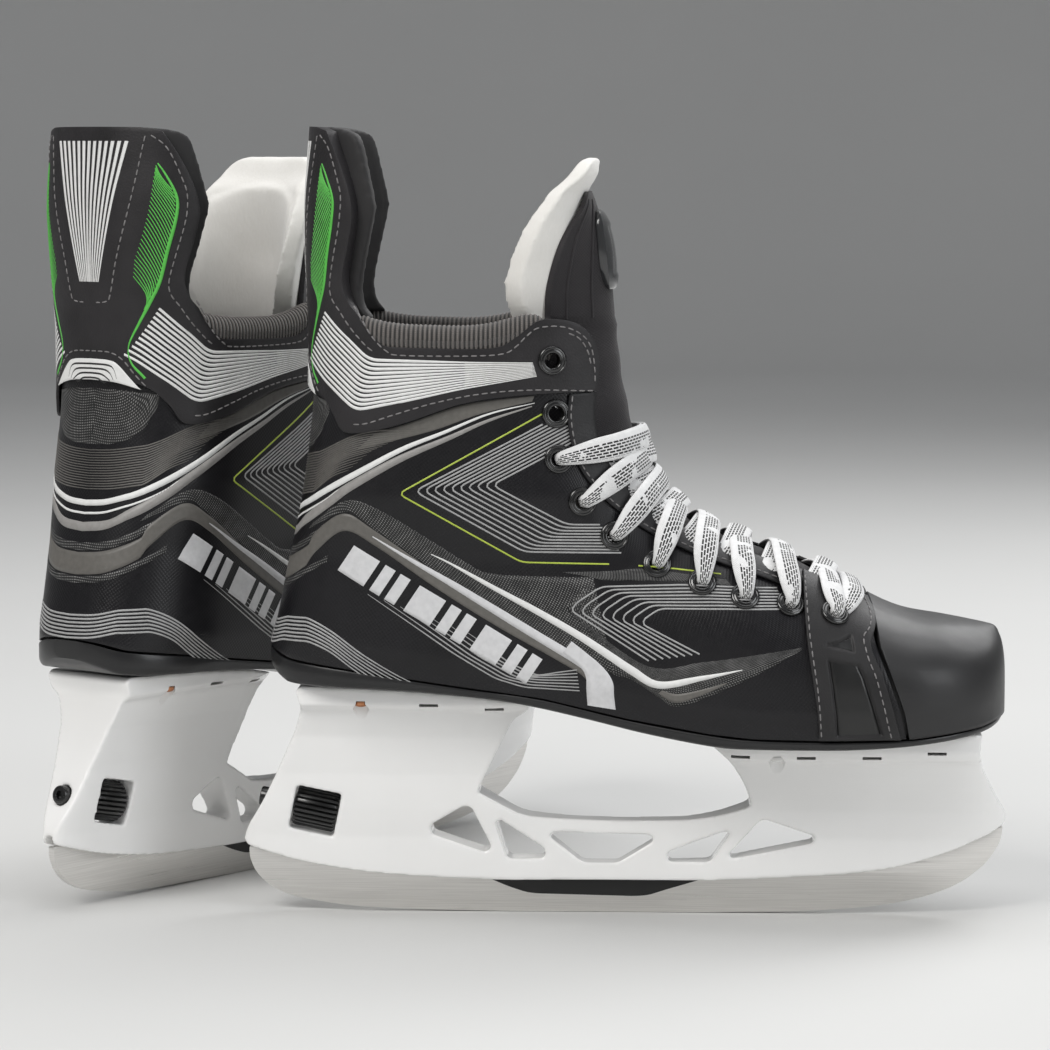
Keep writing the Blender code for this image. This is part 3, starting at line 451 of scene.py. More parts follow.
def shell_mesh():
    bottom = [(x, z + WELT_GAP) for x, z in line_between(WELT, -136.7, 105.6)]
    left = back_between(105.6, 224.5)
    across = turn_shares(BACK_ROUNDING, 250, 20, 84)
    seam = [(x - 0.8, z) for x, z in TOE_SEAM]
    seam[0] = bottom[-1]
    top = [(-119.5, 224.5), (-92, 224.5), (-85, 219), (-66, 218.5), (-50, 219.5), (-41, 222.5),
           (-34, 228.5), (-24, 229), (-16, 226.5), *THROAT[:-1], seam[-1]]
    made = Mesh()
    net = patch(bottom, top, left, seam, across, np.linspace(0, 1, 74))
    slab(made, net, SHELL_LIFT, SHELL_UNDER, ridges=("back",))
    return punched(modified(made.build("boot_shell"), bevel(0.5)), range(len(EYELETS)))


COLLAR_BOTTOM = [(-118.6, 205.5), (-116, 204.3), (-112.6, 201.4), (-108.5, 195), (-105, 188.8),
                 (-96, 189), (-81, 193), (-64, 199), (-51, 201.8), (-34, 203.4), (-11.5, 204.2)]
COLLAR_TOP = [(-99.5, 233.5), (-98, 230.3), (-95.5, 226.6), (-92, 223), (-88.5, 221.2), (-77, 220.8),
              (-59, 220.4), (-48, 221), (-42.5, 223.8), (-37, 228.2), (-33, 231), (-28, 231.6),
              (-21, 230.6), (-16, 227.4), (-12.6, 222), (-11.2, 215)]
GUARD_FRONT = [(-99.5, 233.5), (-102.6, 237.3), (-104.9, 243), (-104.9, 249), (-103.4, 256),
               (-101.6, 266), (-101.2, 272), (-102.6, 280), (-106, 290), (-110.5, 301.3)]


def collar_mesh():
    """The stitched band round the ankle and the tendon guard above it, in one skin."""
    neck_line = [(float(back_x(231)), 231.0), (-110, 232.4), NECK]
    top = [*neck_line, *smooth(COLLAR_TOP, 3)[1:]]
    neck_share = lengths(np.array(neck_line))[-1] / lengths(np.array(top))[-1]
    columns = 26
    bend = 1 - np.cos(np.linspace(0, math.pi / 2, columns + 1)) ** (2 / ROUNDNESS)
    across = np.concatenate([bend * neck_share, np.linspace(neck_share, 1, 80)[1:]])
    bottom = [(float(back_x(207)), 207.0), *smooth(COLLAR_BOTTOM, 3)]
    low_neck = patch(bottom, top, back_between(207, 231), [bottom[-1], top[-1]], across,
                     np.linspace(0, 1, 20))
    front = smooth(GUARD_FRONT, 4)
    crest = [(float(back_x(303)), 303.0), (-114.5, 302.8), tuple(front[-1])]
    shared = [(x, z) for x, z in zip(low_neck[0][-1, :columns + 1], low_neck[1][-1, :columns + 1])]
    rows = 40
    upper = patch(shared, crest, back_between(231, 303), front, bend, np.linspace(0, 1, rows))
    upper[0][0], upper[1][0] = low_neck[0][-1, :columns + 1], low_neck[1][-1, :columns + 1]
    made = Mesh()
    for net, closed in ((low_neck, "low"), (upper, "high")):
        x, z = net
        under = OVERLAY_UNDER + (GUARD_UNDER - OVERLAY_UNDER) * ease((z - 231.5) / 6)
        ridge = np.zeros(x.shape, bool)
        ridge[:, 0] = True
        for side in SIDES:
            out = skin(x, z, side, np.full(x.shape, OVERLAY_LIFT), ridge)[0]
            deep = skin(x, z, side, under, ridge)[0]
            uv = np.stack([(x + 120) * side * 1.2, z], -1)
            made.grid(out, uv, flip=side > 0)
            made.grid(deep, uv, flip=side < 0)
            rims = [np.s_[:, -1]]
            rims.append(np.s_[0, :] if closed == "low" else np.s_[-1, :])
            if closed == "low":
                rims.append(np.s_[-1, columns:])
            for rim in rims:
                made.grid(np.stack([out[rim], deep[rim]]), np.stack([uv[rim], uv[rim]]))
    return punched(modified(made.build("collar_and_guard"), bevel(0.6)), [len(EYELETS) - 1])


def toe_cap_mesh():
    welt = [(x, z + WELT_GAP) for x, z in line_between(WELT, 106.6, 144.5)]
    corner = (141.7, 110.9)
    front = [(144.5, welt[-1][1]), (144.5, 90), (144.3, 100), (143.2, 107), corner]
    top = [(92.8, 123.0), *[(x, z) for x, z in CROWN_LINE if 93 < x < 141.4], corner]
    rear = [(106.6, welt[0][1]), (104.6, 85), (100.6, 96), (95.6, 109), (92.8, 123.0)]
    across = 1 - turn_shares(TOE_ROUNDING, 43, 24, 3)[::-1]
    up = 1 - turn_shares(24, 40, 18, 10)[::-1]
    made = Mesh()
    slab(made, patch(welt, top, rear, front, across, up), CAP_LIFT, CAP_UNDER, ridges=("toe", "top"))
    sleeve = [[(x + shift, z) for x, z in rear] for shift in (-7, 6)]
    net = patch([sleeve[0][0], sleeve[1][0]], [sleeve[0][-1], sleeve[1][-1]], *sleeve,
                np.linspace(0, 1, 10), np.linspace(0, 0.985, 40))
    slab(made, net, SLEEVE_LIFT, SLEEVE_UNDER)
    return made.build("toe_cap")


STRAP_REAR = [(72.6, 74.6), (72.4, 82), (70.6, 95), (68, 111), (66.6, 126), (66.4, 134.6)]
STRAP_FRONT = [(103.5, 74.6), (102.0, 80), (99.6, 88), (96.2, 98.5), (92.5, 106), (91.6, 110),
               (93.4, 115), (93.2, 119.5), (91.2, 123.4)]


def strap_mesh():
    """The stitched piece in front of the toe cap, over the first eyelet, with two sunk panels."""
    rear, front = smooth(STRAP_REAR, 4), smooth(STRAP_FRONT, 4)
    bottom = [tuple(rear[0]), tuple(front[0])]
    top = [tuple(rear[-1]), (80, 129), tuple(front[-1])]
    x, z = patch(bottom, top, rear, front, np.linspace(0, 1, 54), np.linspace(0, 1, 86))
    sunk = np.zeros(x.shape)
    for outline in SUNK_PANELS:
        sunk = np.maximum(sunk, ease((inside_by(x, z, outline) + 0.35) / 0.7))
    made = Mesh()
    slab(made, (x, z), OVERLAY_LIFT - SUNK_DEPTH * sunk, OVERLAY_UNDER)
    return punched(modified(made.build("toe_strap"), bevel(0.5)), [0], 60)


SUNK_PANELS = [[(74.3, 109.8), (79.5, 110.8), (84.2, 112.8), (85.4, 106.8)],
               [(75.6, 104.8), (87.4, 102.4), (89.6, 98.2), (93.2, 87), (96.4, 76.6), (79.2, 76.2),
                (78.4, 86), (77.2, 95)]]


def strap_shade_mesh():
    """Near-black sheets laid in the strap's two sunk panels: painted shade in the recesses."""
    made = Mesh()
    upper = [(74.9, 109.6), (80, 108.6), (84.9, 107.4)], [(75.2, 110), (79.6, 110.6), (83.9, 112.3)]
    lower = ([(79.4, 76.8), (78.8, 86), (77.6, 95), (76.2, 104.4)],
             [(95.9, 77.2), (92.7, 87), (89.1, 98), (87, 102)])
    for low, high in (upper, lower):
        low, high = (along(np.array(line), np.linspace(0, 1, 24)) for line in (low, high))
        for side in SIDES:
            band(made, low, high, side, OVERLAY_LIFT - SUNK_DEPTH, 8, 0.08)
    return made.build("strap_shade", merge=0, outward=False)


def inside_by(x, z, outline):
    """How far points of the side view lie inside an outline, in millimetres; below 0 outside."""
    points = np.array(outline + outline[:1], float)
    p = np.stack([x, z], -1)[..., None, :]
    a, b = points[:-1], points[1:]
    t = np.clip(((p - a) * (b - a)).sum(-1) / ((b - a) ** 2).sum(-1), 0, 1)
    away = np.linalg.norm(p - (a + (b - a) * t[..., None]), axis=-1).min(-1)
    crossing = ((a[:, 1] > z[..., None]) != (b[:, 1] > z[..., None]))
    with np.errstate(divide="ignore", invalid="ignore"):
        meet = a[:, 0] + (z[..., None] - a[:, 1]) * (b - a)[:, 0] / (b - a)[:, 1]
    odd = (crossing & (x[..., None] < meet)).sum(-1) % 2 == 1
    return np.where(odd, away, -away)


EYESTAY_INNER = [(-21.5, 203.2), (-22, 193), (-19, 179), (-13, 169), (-3, 159), (10, 150), (27, 142),
                 (48, 135), (66, 128.5)]


def eyestay_mesh():
    outer = [(-11.6, 203.8), *THROAT[2:8], (66.6, 135)]
    inner = smooth(EYESTAY_INNER, 5)
    made = Mesh()
    net = patch(inner, smooth(outer, 5), [tuple(inner[0]), outer[0]], [tuple(inner[-1]), outer[-1]],
                np.linspace(0, 1, 100), np.linspace(0, 1, 8))
    slab(made, net, EYESTAY_LIFT, EYESTAY_UNDER)
    return punched(modified(made.build("eyestay"), bevel(0.4)), range(1, len(EYELETS) - 1))


def tongue_arc(point, normal, half, drop):
    """A cross-section of the laced part of the tongue: its outer arc, then its inner one back."""
    outer, inner = [], []
    for t in np.linspace(-math.pi / 2, math.pi / 2, TONGUE_ROUND):
        y = half * math.sin(t)
        low = point - normal * drop * (y / half) ** 2
        outer.append((low[0], y + float(swing(low[0])), low[1]))
        deep = low - normal * TONGUE_THICK
        inner.append((deep[0], y * (half - 1) / half + float(swing(low[0])), deep[1]))
    return outer + inner[::-1]


# The upper tongue's layers: height, front x, half width, how far the sides fall back, thickness.
CAP_SHAPE = [(232, -4.5, 26.5, 24, 2.2), (243, -5.5, 27, 22.3, 2.2), (256, -7, 26.5, 17.3, 2.2),
             (264, -8.5, 24, 12.5, 2.0), (272, -11, 20, 5.2, 1.8), (276, -12.3, 16.5, 2.6, 1.7),
             (278.6, -13.4, 12, 1.0, 1.5)]
FELT_SHAPE = [(222, -8.2, 23, 22.5, 7.5), (232, -8.5, 27.5, 28.8, 7.5), (243, -9.5, 31, 30.5, 7),
              (252, -10.5, 32, 28, 6.5), (261, -12.6, 32.5, 22.5, 6.5), (269, -14.4, 31.5, 16.5, 6.3),
              (276, -15.6, 30, 10, 6), (279, -15.4, 29, 8, 5.8), (283, -13.0, 28, 5, 5.5),
              (286, -11.4, 26.8, 3.6, 5.6), (288.6, -10.2, 24.6, 3, 5.4), (290.4, -9.8, 21.8, 2.6, 4.6),
              (291.6, -10.2, 17.6, 2, 2.6)]


def upright_arc(shape, z, count, ahead=0.0, thick=None, half=None, edge=0.6):
    """A level cross-section of a layer of the upper tongue: its front arc, then its rear one.

    The rear arc is narrower by edge at each end.
    """
    zs, *columns = zip(*shape)
    front, full, drop, deep = (float(np.interp(z, zs, column)) for column in columns)
    thick, half = thick or deep, half or full
    ys = [half * math.sin(t) for t in np.linspace(-math.pi / 2, math.pi / 2, count)]
    arc = [(front + ahead - drop * (y / full) ** 2, y, z) for y in ys]
    return arc + [(x - thick, y * (half - edge) / half, z) for x, y, z in arc[::-1]]


def girth_map(sections, half):
    """Cloth coordinates of a strip's cross-sections: across it both ways, and up it."""
    count = sections.shape[1] // 2
    girth = np.concatenate([np.linspace(-half, half, count), np.linspace(half, -half, count)])
    return np.stack(np.broadcast_arrays(girth[None, :], lengths(sections[:, count // 2])[:, None]), -1)


def smooth_table(table, steps=5):
    return [tuple(row) for row in smooth(table, steps)]


TONGUE_TOP = 228.0
TONGUE_ROWS = 84
TONGUE_ROUND = 31
TONGUE_THICK = 4.2
TONGUE_SEAMS = (5, 9)
SEAM_WIDE, SEAM_TALL = 0.55, 0.5


def tongue_mesh():
    """The tongue's outer skin, from under the toe cap up over the ankle to its top edge."""
    line = np.array([p for p in CROWN_LINE[::-1] if p[1] < TONGUE_TOP and p[0] < 90.5])
    sections = []
    for share in np.linspace(0, 1, TONGUE_ROWS):
        p = along(line, share)
        ahead, behind = along(line, min(share + 0.01, 1)), along(line, max(share - 0.01, 0))
        t = unit(ahead - behind)
        n = np.array([t[1], -t[0]])
        back = 1 - share
        top = 1 - float(ease(back * 3.2))
        shin = 1 - float(ease(back * 1.6))
        half, drop = 18.5 + 3.5 * shin + 5.5 * top, 8.5 + 7 * shin + 20 * top
        puff = 0.25 * math.sin(share * 60)
        sections.append(tongue_arc(p - n * (1.2 + 2.6 * top + puff), n, half, drop))
    cap = smooth_table(CAP_SHAPE)
    for z in np.linspace(TONGUE_TOP + 3, CAP_SHAPE[-1][0], 34):
        sections.append(upright_arc(cap, z, TONGUE_ROUND))
    sections = np.array(sections)
    made = Mesh()
    made.tube(sections, girth_map(sections, 30))
    skin_of_it = modified(made.build("tongue"), bevel(0.5, angle=45))
    seams = Mesh()
    upper = sections[TONGUE_ROWS:-2]
    for column in TONGUE_SEAMS:
        for at, step in ((column, 1), (TONGUE_ROUND - 1 - column, -1)):
            line, beside = smooth(upper[:, at], 2), smooth(upper[:, at + step], 2)
            across = unit(beside - line)
            up = np.cross(unit(np.gradient(line, axis=0)), across)
            up *= np.sign(up[:, :1] + 1e-9)
            turn = np.linspace(0, 2 * math.pi, 9)[:-1]
            rings = [[p + a * SEAM_WIDE * math.cos(t) + u * SEAM_TALL * math.sin(t) for t in turn]
                     for p, a, u in zip(line, across, up)]
            seams.tube(rings)
    return sharpened(joined([skin_of_it, seams.build("seams")]), 50)


def felt_mesh():
    """The thick felt pad inside the tongue, with a raised inner pad."""
    shape = smooth_table(FELT_SHAPE, 4)
    heights = np.concatenate([np.linspace(222, 285, 48), 291.6 - 6.2 * np.linspace(1, 0, 12) ** 2])
    sections = []
    for z in heights:
        loop = np.array(upright_arc(shape, z, 33, edge=3.4))
        rear = loop[len(loop) // 2:]
        y = np.abs(rear[:, 1])
        inset = np.minimum(24 - y, (281 - 0.012 * y ** 2) - z)
        rear[:, 0] -= 1.6 * ease(inset / 2.2)
        sections.append(loop)
    sections = np.array(sections)
    made = Mesh()
    made.tube(sections, girth_map(sections, 33))
    return made.build("tongue_felt")


BADGE_GAP = 0.35
BADGE_ROUND = 25
BADGE_DISH = 0.7
# Height, half width, and how far the bumper stands out.
BADGE_SHAPE = [(241.5, 7.5, 0.5), (242.5, 9.5, 1.4), (245, 10.8, 2.2), (250, 12.2, 2.9),
               (256, 12.8, 3.1), (262, 12.6, 3.0), (267, 11.8, 2.6), (270.5, 10, 1.6), (271.6, 8.4, 0.5)]


def badge_mesh():
    """The moulded bumper on the front of the tongue, with a sunk middle."""
    sections = []
    for z, half, proud in smooth_table(BADGE_SHAPE, 6):
        loop = np.array(upright_arc(smooth_table(CAP_SHAPE), z, BADGE_ROUND, ahead=BADGE_GAP + proud,
                                    thick=proud, half=half, edge=0.2))
        front = loop[:BADGE_ROUND]
        dish = ease((8.2 - np.abs(front[:, 1])) / 1.6) * ease((z - 246.5) / 2) * ease((266.5 - z) / 2)
        front[:, 0] -= BADGE_DISH * dish
        sections.append(loop)
    made = Mesh()
    made.tube(sections)
    return sharpened(modified(made.build("tongue_badge"), bevel(0.35)), 45)


# ---------------------------------------------------------------- lining and pads

RIB_PITCH = 1.75
RIB_DEPTH = 0.16
ROLL_WIDE, ROLL_ABOVE, ROLL_BELOW = 4.6, 5.6, 9.0
ROLL_ROUND = 22
ROLL_GIRTH = 34
LINING_TOP = [(-106, 227), (-101, 231.5), (-97.5, 231.6), (-94.6, 230.6), (-85, 229.3), (-76, 228.8),
              (-59, 228.6), (-47, 230.2), (-40, 232.0), (-35, 232.6), (-31, 231.4), (-27, 226)]


def lining_roll_mesh():
    """The padded roll of ribbed knit along the top of the lining, on both sides."""
    line = smooth(LINING_TOP, 8)
    total = lengths(line)[-1]
    count = int(total / RIB_PITCH * 6)
    made = Mesh()
    for side in SIDES:
        sections, uvs = [], []
        for share in np.linspace(0, 1, count):
            x, z = along(line, share)
            run = share * total
            reach = 1 + RIB_DEPTH * math.cos(2 * math.pi * run / RIB_PITCH) / ROLL_WIDE
            ends = float(rounded(share * 9) * rounded((1 - share) * 9))
            middle, out = skin(x, z - 5.2, side, -2.6)
            out = unit(out * (0.4, 1, 0.4))
            up = np.array([0, 0, 1.0])
            loop, row = [], []
            for k in range(ROLL_ROUND):
                t = 2 * math.pi * k / ROLL_ROUND
                tall = ROLL_ABOVE if math.sin(t) > 0 else ROLL_BELOW
                loop.append(middle + out * ROLL_WIDE * ends * reach * math.cos(t)
                            + up * tall * reach * ends * math.sin(t))
                row.append((run, ROLL_GIRTH * k / ROLL_ROUND))
            sections.append(loop)
            uvs.append(row)
        made.tube(sections, uvs)
    return made.build("lining_roll")


def lining_mesh():
    """The lining inside the boot, with the footbed's edge tucked under it."""
    bottom = [(x, z + 6) for x, z in line_between(WELT, -134.6, 88)]
    top = [(-119.5, 226), (-100, 227), (-91, 226), (-82, 225), (-60, 225), (-46, 226), (-40, 224),
           (-38, 215), (-37, 195), (-33, 180), (-22, 163), (-5, 148), (15, 138), (40, 130), (65, 122),
           (88, 110)]
    left = back_between(bottom[0][1], 226)
    net = patch(bottom, top, left, [bottom[-1], top[-1]], turn_shares(BACK_ROUNDING, 235, 10, 30),
                np.linspace(0, 1, 24))
    made = Mesh()
    slab(made, net, LINING_LIFT, LINING_UNDER, ridges=("back",))
    return made.build("lining")


def guard_pad_mesh():
    """The foam pad inside the tendon guard, which shows in front of the guard's stitched edge."""
    front = smooth([(-95.5, 230.6), (-99.2, 234.5), (-100.9, 239), (-100.8, 246), (-97.1, 260.7),
                    (-94.6, 272.1), (-94.9, 276), (-98, 288), (-101.3, 298.6), (-105, 301.6),
                    (-110, 303)], 4)
    low = 230.6
    back = back_between(low, 303.6)
    bottom = [back[0], (-108, low), tuple(front[0])]
    crest = [back[-1], (-114, 303.6), tuple(front[-1])]
    columns = 1 - np.cos(np.linspace(0, math.pi / 2, 20)) ** (2 / ROUNDNESS)
    x, z = patch(bottom, crest, back, front, columns, np.linspace(0, 1, 40))
    made = Mesh()
    slab(made, (x, z), PAD_LIFT, LINING_UNDER, ridges=("back",))
    return made.build("guard_pad")


CLOTH_FRAMES = 20
CLOTH_SCALE = 10 * MM
FINE_VOXEL = 1.0


def padded_out(mesh, voxel, cap, pressure=4.0, smoothing=8):
    """A pad's mesh after it has been remeshed, blown up a little as cloth, and rounded off.

    No point moves further than cap millimetres. A coarse pad is subdivided at the end.
    """
    rest = modified(mesh, ("REMESH", {"mode": "VOXEL", "voxel_size": voxel}))
    obj = as_object("pad_working", rest)
    obj.scale = (CLOTH_SCALE,) * 3
    bpy.context.view_layer.update()
    rest.transform(obj.matrix_world)
    obj.scale = (1, 1, 1)
    before = np.array([v.co for v in rest.vertices])
    cloth = obj.modifiers.new("pad", "CLOTH")
    settings = {"use_pressure": True, "uniform_pressure_force": pressure, "tension_stiffness": 15,
                "compression_stiffness": 15, "bending_stiffness": 0.5}
    for key, value in settings.items():
        setattr(cloth.settings, key, value)
    cloth.settings.effector_weights.gravity = 0
    scene = bpy.context.scene
    for step in range(1, CLOTH_FRAMES + 1):
        scene.frame_set(step)
    swollen = applied(obj)
    after = np.array([v.co for v in swollen.vertices])
    scene.frame_set(1)
    moved = (after - before) / CLOTH_SCALE
    reach = np.linalg.norm(moved, axis=1, keepdims=True)
    moved *= np.minimum(1, cap / np.maximum(reach, 1e-9))
    shape = before / CLOTH_SCALE + moved
    swollen.vertices.foreach_set("co", shape.astype(np.float32).ravel())
    swollen.update()
    steps = [("SMOOTH", {"factor": 0.5, "iterations": smoothing})]
    if voxel > FINE_VOXEL:
        steps.append(("SUBSURF", {"levels": 1, "render_levels": 1}))
    soft = modified(swollen, *steps)
    soft.shade_smooth()
    return soft



# ---------------------------------------------------------------- sole, holder, runner and lock

HOLDER_BOTTOM = [(-147, 26), (-126, 20), (-102, 16), (-75, 14), (-48, 13), (29, 13), (52, 14), (87, 16),
                 (106, 19), (125, 25), (140, 32), (146, 36)]
HOLDER_REST = [(147, 39.5), (142, 48), (137, 58), (135, 65), (136, 73.6), (108, 70.6), (85, 69.4),
               (50, 69.4), (31, 70.6), (33, 67.5), (40, 62), (46, 52), (48.5, 43.5), (46, 42), (37, 39),
               (25, 36.8), (-2, 36.2), (-25, 37), (-40, 38.5), (-48, 43), (-57, 48), (-43, 77),
               (-38, 79.5), (-36, 83), (-54, 86.6), (-86, 89.2), (-124, 90.6), (-126, 88.6), (-124, 83),
               (-126, 74), (-134, 56), (-141, 42), (-146, 34), (-148, 28.5)]
TRUSS_WINDOWS = [
    [(-75.2, 34.8), (-74.8, 31), (-54, 24), (-51.4, 25.8), (-59.4, 42), (-62.4, 42.4)],
    [(-50, 36), (-48, 36.8), (-30.8, 25.2), (-30.8, 21.6), (-44.4, 21.4), (-45.8, 22.6)],
    [(-29.2, 30), (-28, 31.8), (10, 30.8), (11.2, 28.4), (-2.8, 19.8), (-16.4, 19.8)],
    [(16, 21.8), (16.6, 24.2), (38.8, 32.8), (40.8, 32), (32.8, 20.4), (17.4, 20.2)],
    [(39.8, 23.2), (51.8, 37), (54, 37.6), (73, 31), (72.6, 28.2), (41.4, 21.8)],
]
HOLDER_REAR_WIDTHS = [(0, 6.5), (30, 7.5), (40, 9), (55, 10.5), (70, 13.5), (80, 17.5), (83, 22),
                      (95, 22)]
HOLDER_FRONT_WIDTHS = [(0, 6), (30, 6.5), (42, 9), (52, 13.5), (61, 18.5), (64, 23), (95, 23)]
BRIDGE_HALF = 5.0
SLOT_HALF = 1.85
RUNNER_HALF = 1.5
RUNNER_EDGE = [(-146, 25), (-146, 21), (-144, 15.5), (-139, 10), (-130, 5.6), (-111, 2), (-87, 0.6),
               (-48, 0), (29, 0), (68, 0.6), (95, 2.6), (114, 6), (129, 11.6), (140, 20.5), (145, 29),
               (145.5, 34.5)]
RUNNER_TOP = [(125, 28.5), (106, 22.6), (104, 22.5), (103, 40), (93, 40), (92, 21), (52, 17.2),
              (29, 16.4), (-48, 16.4), (-75, 17.4), (-84, 18.2), (-85, 36), (-96, 36), (-97, 19.3),
              (-126, 23.6)]
SLOT_TOP = [(148, 37.5), (125, 29.1), (107, 23.4), (103.6, 42), (92.4, 42), (91.4, 21.8), (52, 17.9),
            (29, 17), (-48, 17), (-75, 18), (-83.4, 19), (-84.4, 38), (-96.6, 38), (-97.6, 20),
            (-126, 24.4), (-150, 30)]
LOCK_CENTRE = (-118.5, 0.0, 39.8)
LOCK_TILT = math.radians(12)
WHEEL_RADIUS = 8.2
WHEEL_FRONT, WHEEL_REAR = 7.0, -9.6
BORE_RADIUS = 2.8
PLUG_RADIUS = 3.75
PLUG_START = -18.8
RIVETS = {"rear_rivet_outer": (-101, -1), "rear_rivet_inner": (-101, 1),
          "front_rivet_outer": (58, -1), "front_rivet_inner": (58, 1)}
RIVET_OUT = 19.4
RIVET_HOLE, RIVET_HOLE_DEPTH = 3.1, 14
FLANGE = 5.8
GAP = 0.35
VENTS = [(-75, 83.2), (-50, 81.4), (44, 64), (69, 63.7), (94, 63.8), (118.6, 65.8)]


def filleted(points, radius, gentle=None, corner=38):
    """A closed outline with its corners rounded, and its gentle bends by a wider radius."""
    p = np.array(points, float)
    out = []
    for a, b, c in zip(np.roll(p, 1, 0), p, np.roll(p, -1, 0)):
        before, after = np.linalg.norm(a - b), np.linalg.norm(c - b)
        u, v = (a - b) / before, (c - b) / after
        turn = 180 - math.degrees(math.acos(float(np.clip(u @ v, -1, 1))))
        want = gentle if gentle and turn < corner else radius
        r = min(want, before * 0.48, after * 0.48)
        out += [tuple((1 - t) ** 2 * (b + u * r) + 2 * t * (1 - t) * b + t ** 2 * (b + v * r))
                for t in np.linspace(0, 1, 6)]
    return out


def plate_mesh(outlines, half, middle=0.0):
    """A flat plate from outlines in the side view, inner ones being windows."""
    curve = bpy.data.curves.new("plate", "CURVE")
    curve.dimensions = "2D"
    curve.fill_mode = "BOTH"
    curve.extrude = half
    for outline in outlines:
        spline = curve.splines.new("POLY")
        spline.points.add(len(outline) - 1)
        spline.use_cyclic_u = True
        for point, (x, z) in zip(spline.points, outline):
            point.co = (x, z, 0, 1)
    obj = bpy.data.objects.new("plate", curve)
    bpy.context.scene.collection.objects.link(obj)
    obj.rotation_euler.x = math.pi / 2
    obj.location.y = middle
    mesh = applied(obj)
    bm = bmesh.new()
    bm.from_mesh(mesh)
    bmesh.ops.remove_doubles(bm, verts=bm.verts, dist=0.002)
    bmesh.ops.recalc_face_normals(bm, faces=bm.faces)
    bm.to_mesh(mesh)
    bm.free()
    return mesh


def from_bmesh(name, bm):
    mesh = bpy.data.meshes.new(name)
    bm.to_mesh(mesh)
    bm.free()
    return mesh


def cylinder_mesh(start, end, radius, sides=32):
    a, b = Vector(start), Vector(end)
    bm = bmesh.new()
    bmesh.ops.create_cone(bm, cap_ends=True, segments=sides, radius1=radius, radius2=radius,
                          depth=(b - a).length)
    turn = (b - a).to_track_quat("Z", "Y").to_matrix().to_4x4()
    bmesh.ops.transform(bm, matrix=Matrix.Translation((a + b) / 2) @ turn, verts=bm.verts)
    return from_bmesh("cylinder", bm)


def box_mesh(low, high, turn=Matrix.Identity(4)):
    low, high = Vector(low), Vector(high)
    bm = bmesh.new()
    bmesh.ops.create_cube(bm, size=1)
    bmesh.ops.scale(bm, vec=high - low, verts=bm.verts)
    bmesh.ops.transform(bm, matrix=Matrix.Translation((low + high) / 2) @ turn, verts=bm.verts)
    return from_bmesh("box", bm)


def joined(meshes):
    bm = bmesh.new()
    for mesh in meshes:
        bm.from_mesh(mesh)
    return from_bmesh("joined", bm)


def boolean(mesh, tools, operation="DIFFERENCE"):
    other = as_object("tool", joined(tools))
    made = modified(mesh, ("BOOLEAN", {"operation": operation, "object": other}))
    bpy.data.objects.remove(other)
    return made


def lock_axis():
    return Vector((math.cos(LOCK_TILT), 0, -math.sin(LOCK_TILT)))


def on_lock(distance):
    return Vector(LOCK_CENTRE) + lock_axis() * distance


HOLDER_HEIGHTS = (8, 20, 30, 36, 41, 45, 48, 51, 55, 58, 60, 61.5, 62.4, 63, 66, 70, 75, 79, 80.2,
                  81.2, 82, 83.4, 84.6, 88, 95)
HOLDER_STATIONS = [-149, -148.2, -147.3, -146, -144, -141, *np.linspace(-137, 137, 80), 141, 143.6,
                   145.6, 146.9, 147.8, 148.3]
LEAST_HALF = 2.6


def holder_section(x):
    """A cross-section of the holder before its side view is cut out: two towers and a bridge."""
    rear, front = 1 - ease((x + 56) / 44), ease((x - 14) / 34)
    ends = rounded((x + 148.6) / 26) * rounded((147.6 - x) / 24)
    loop = []
    for z in HOLDER_HEIGHTS:
        half = (BRIDGE_HALF + (read(HOLDER_REAR_WIDTHS, z) - BRIDGE_HALF) * rear
                + (read(HOLDER_FRONT_WIDTHS, z) - BRIDGE_HALF) * front)
        loop.append((max(float(half * ends), LEAST_HALF), z))
    return [(x, y, z) for y, z in loop] + [(x, -y, z) for y, z in loop[::-1]]


HOLDER_VOXEL, HOLDER_VOXEL_QUICK = 0.7, 1.6
WHEEL_ROOM_ENDS, WHEEL_ROOM_BELOW, WHEEL_ROOM_ABOVE = 0.5, 8.45, 8.95
THROUGH = 30
VENT_HALF = (3.6, 0.6)


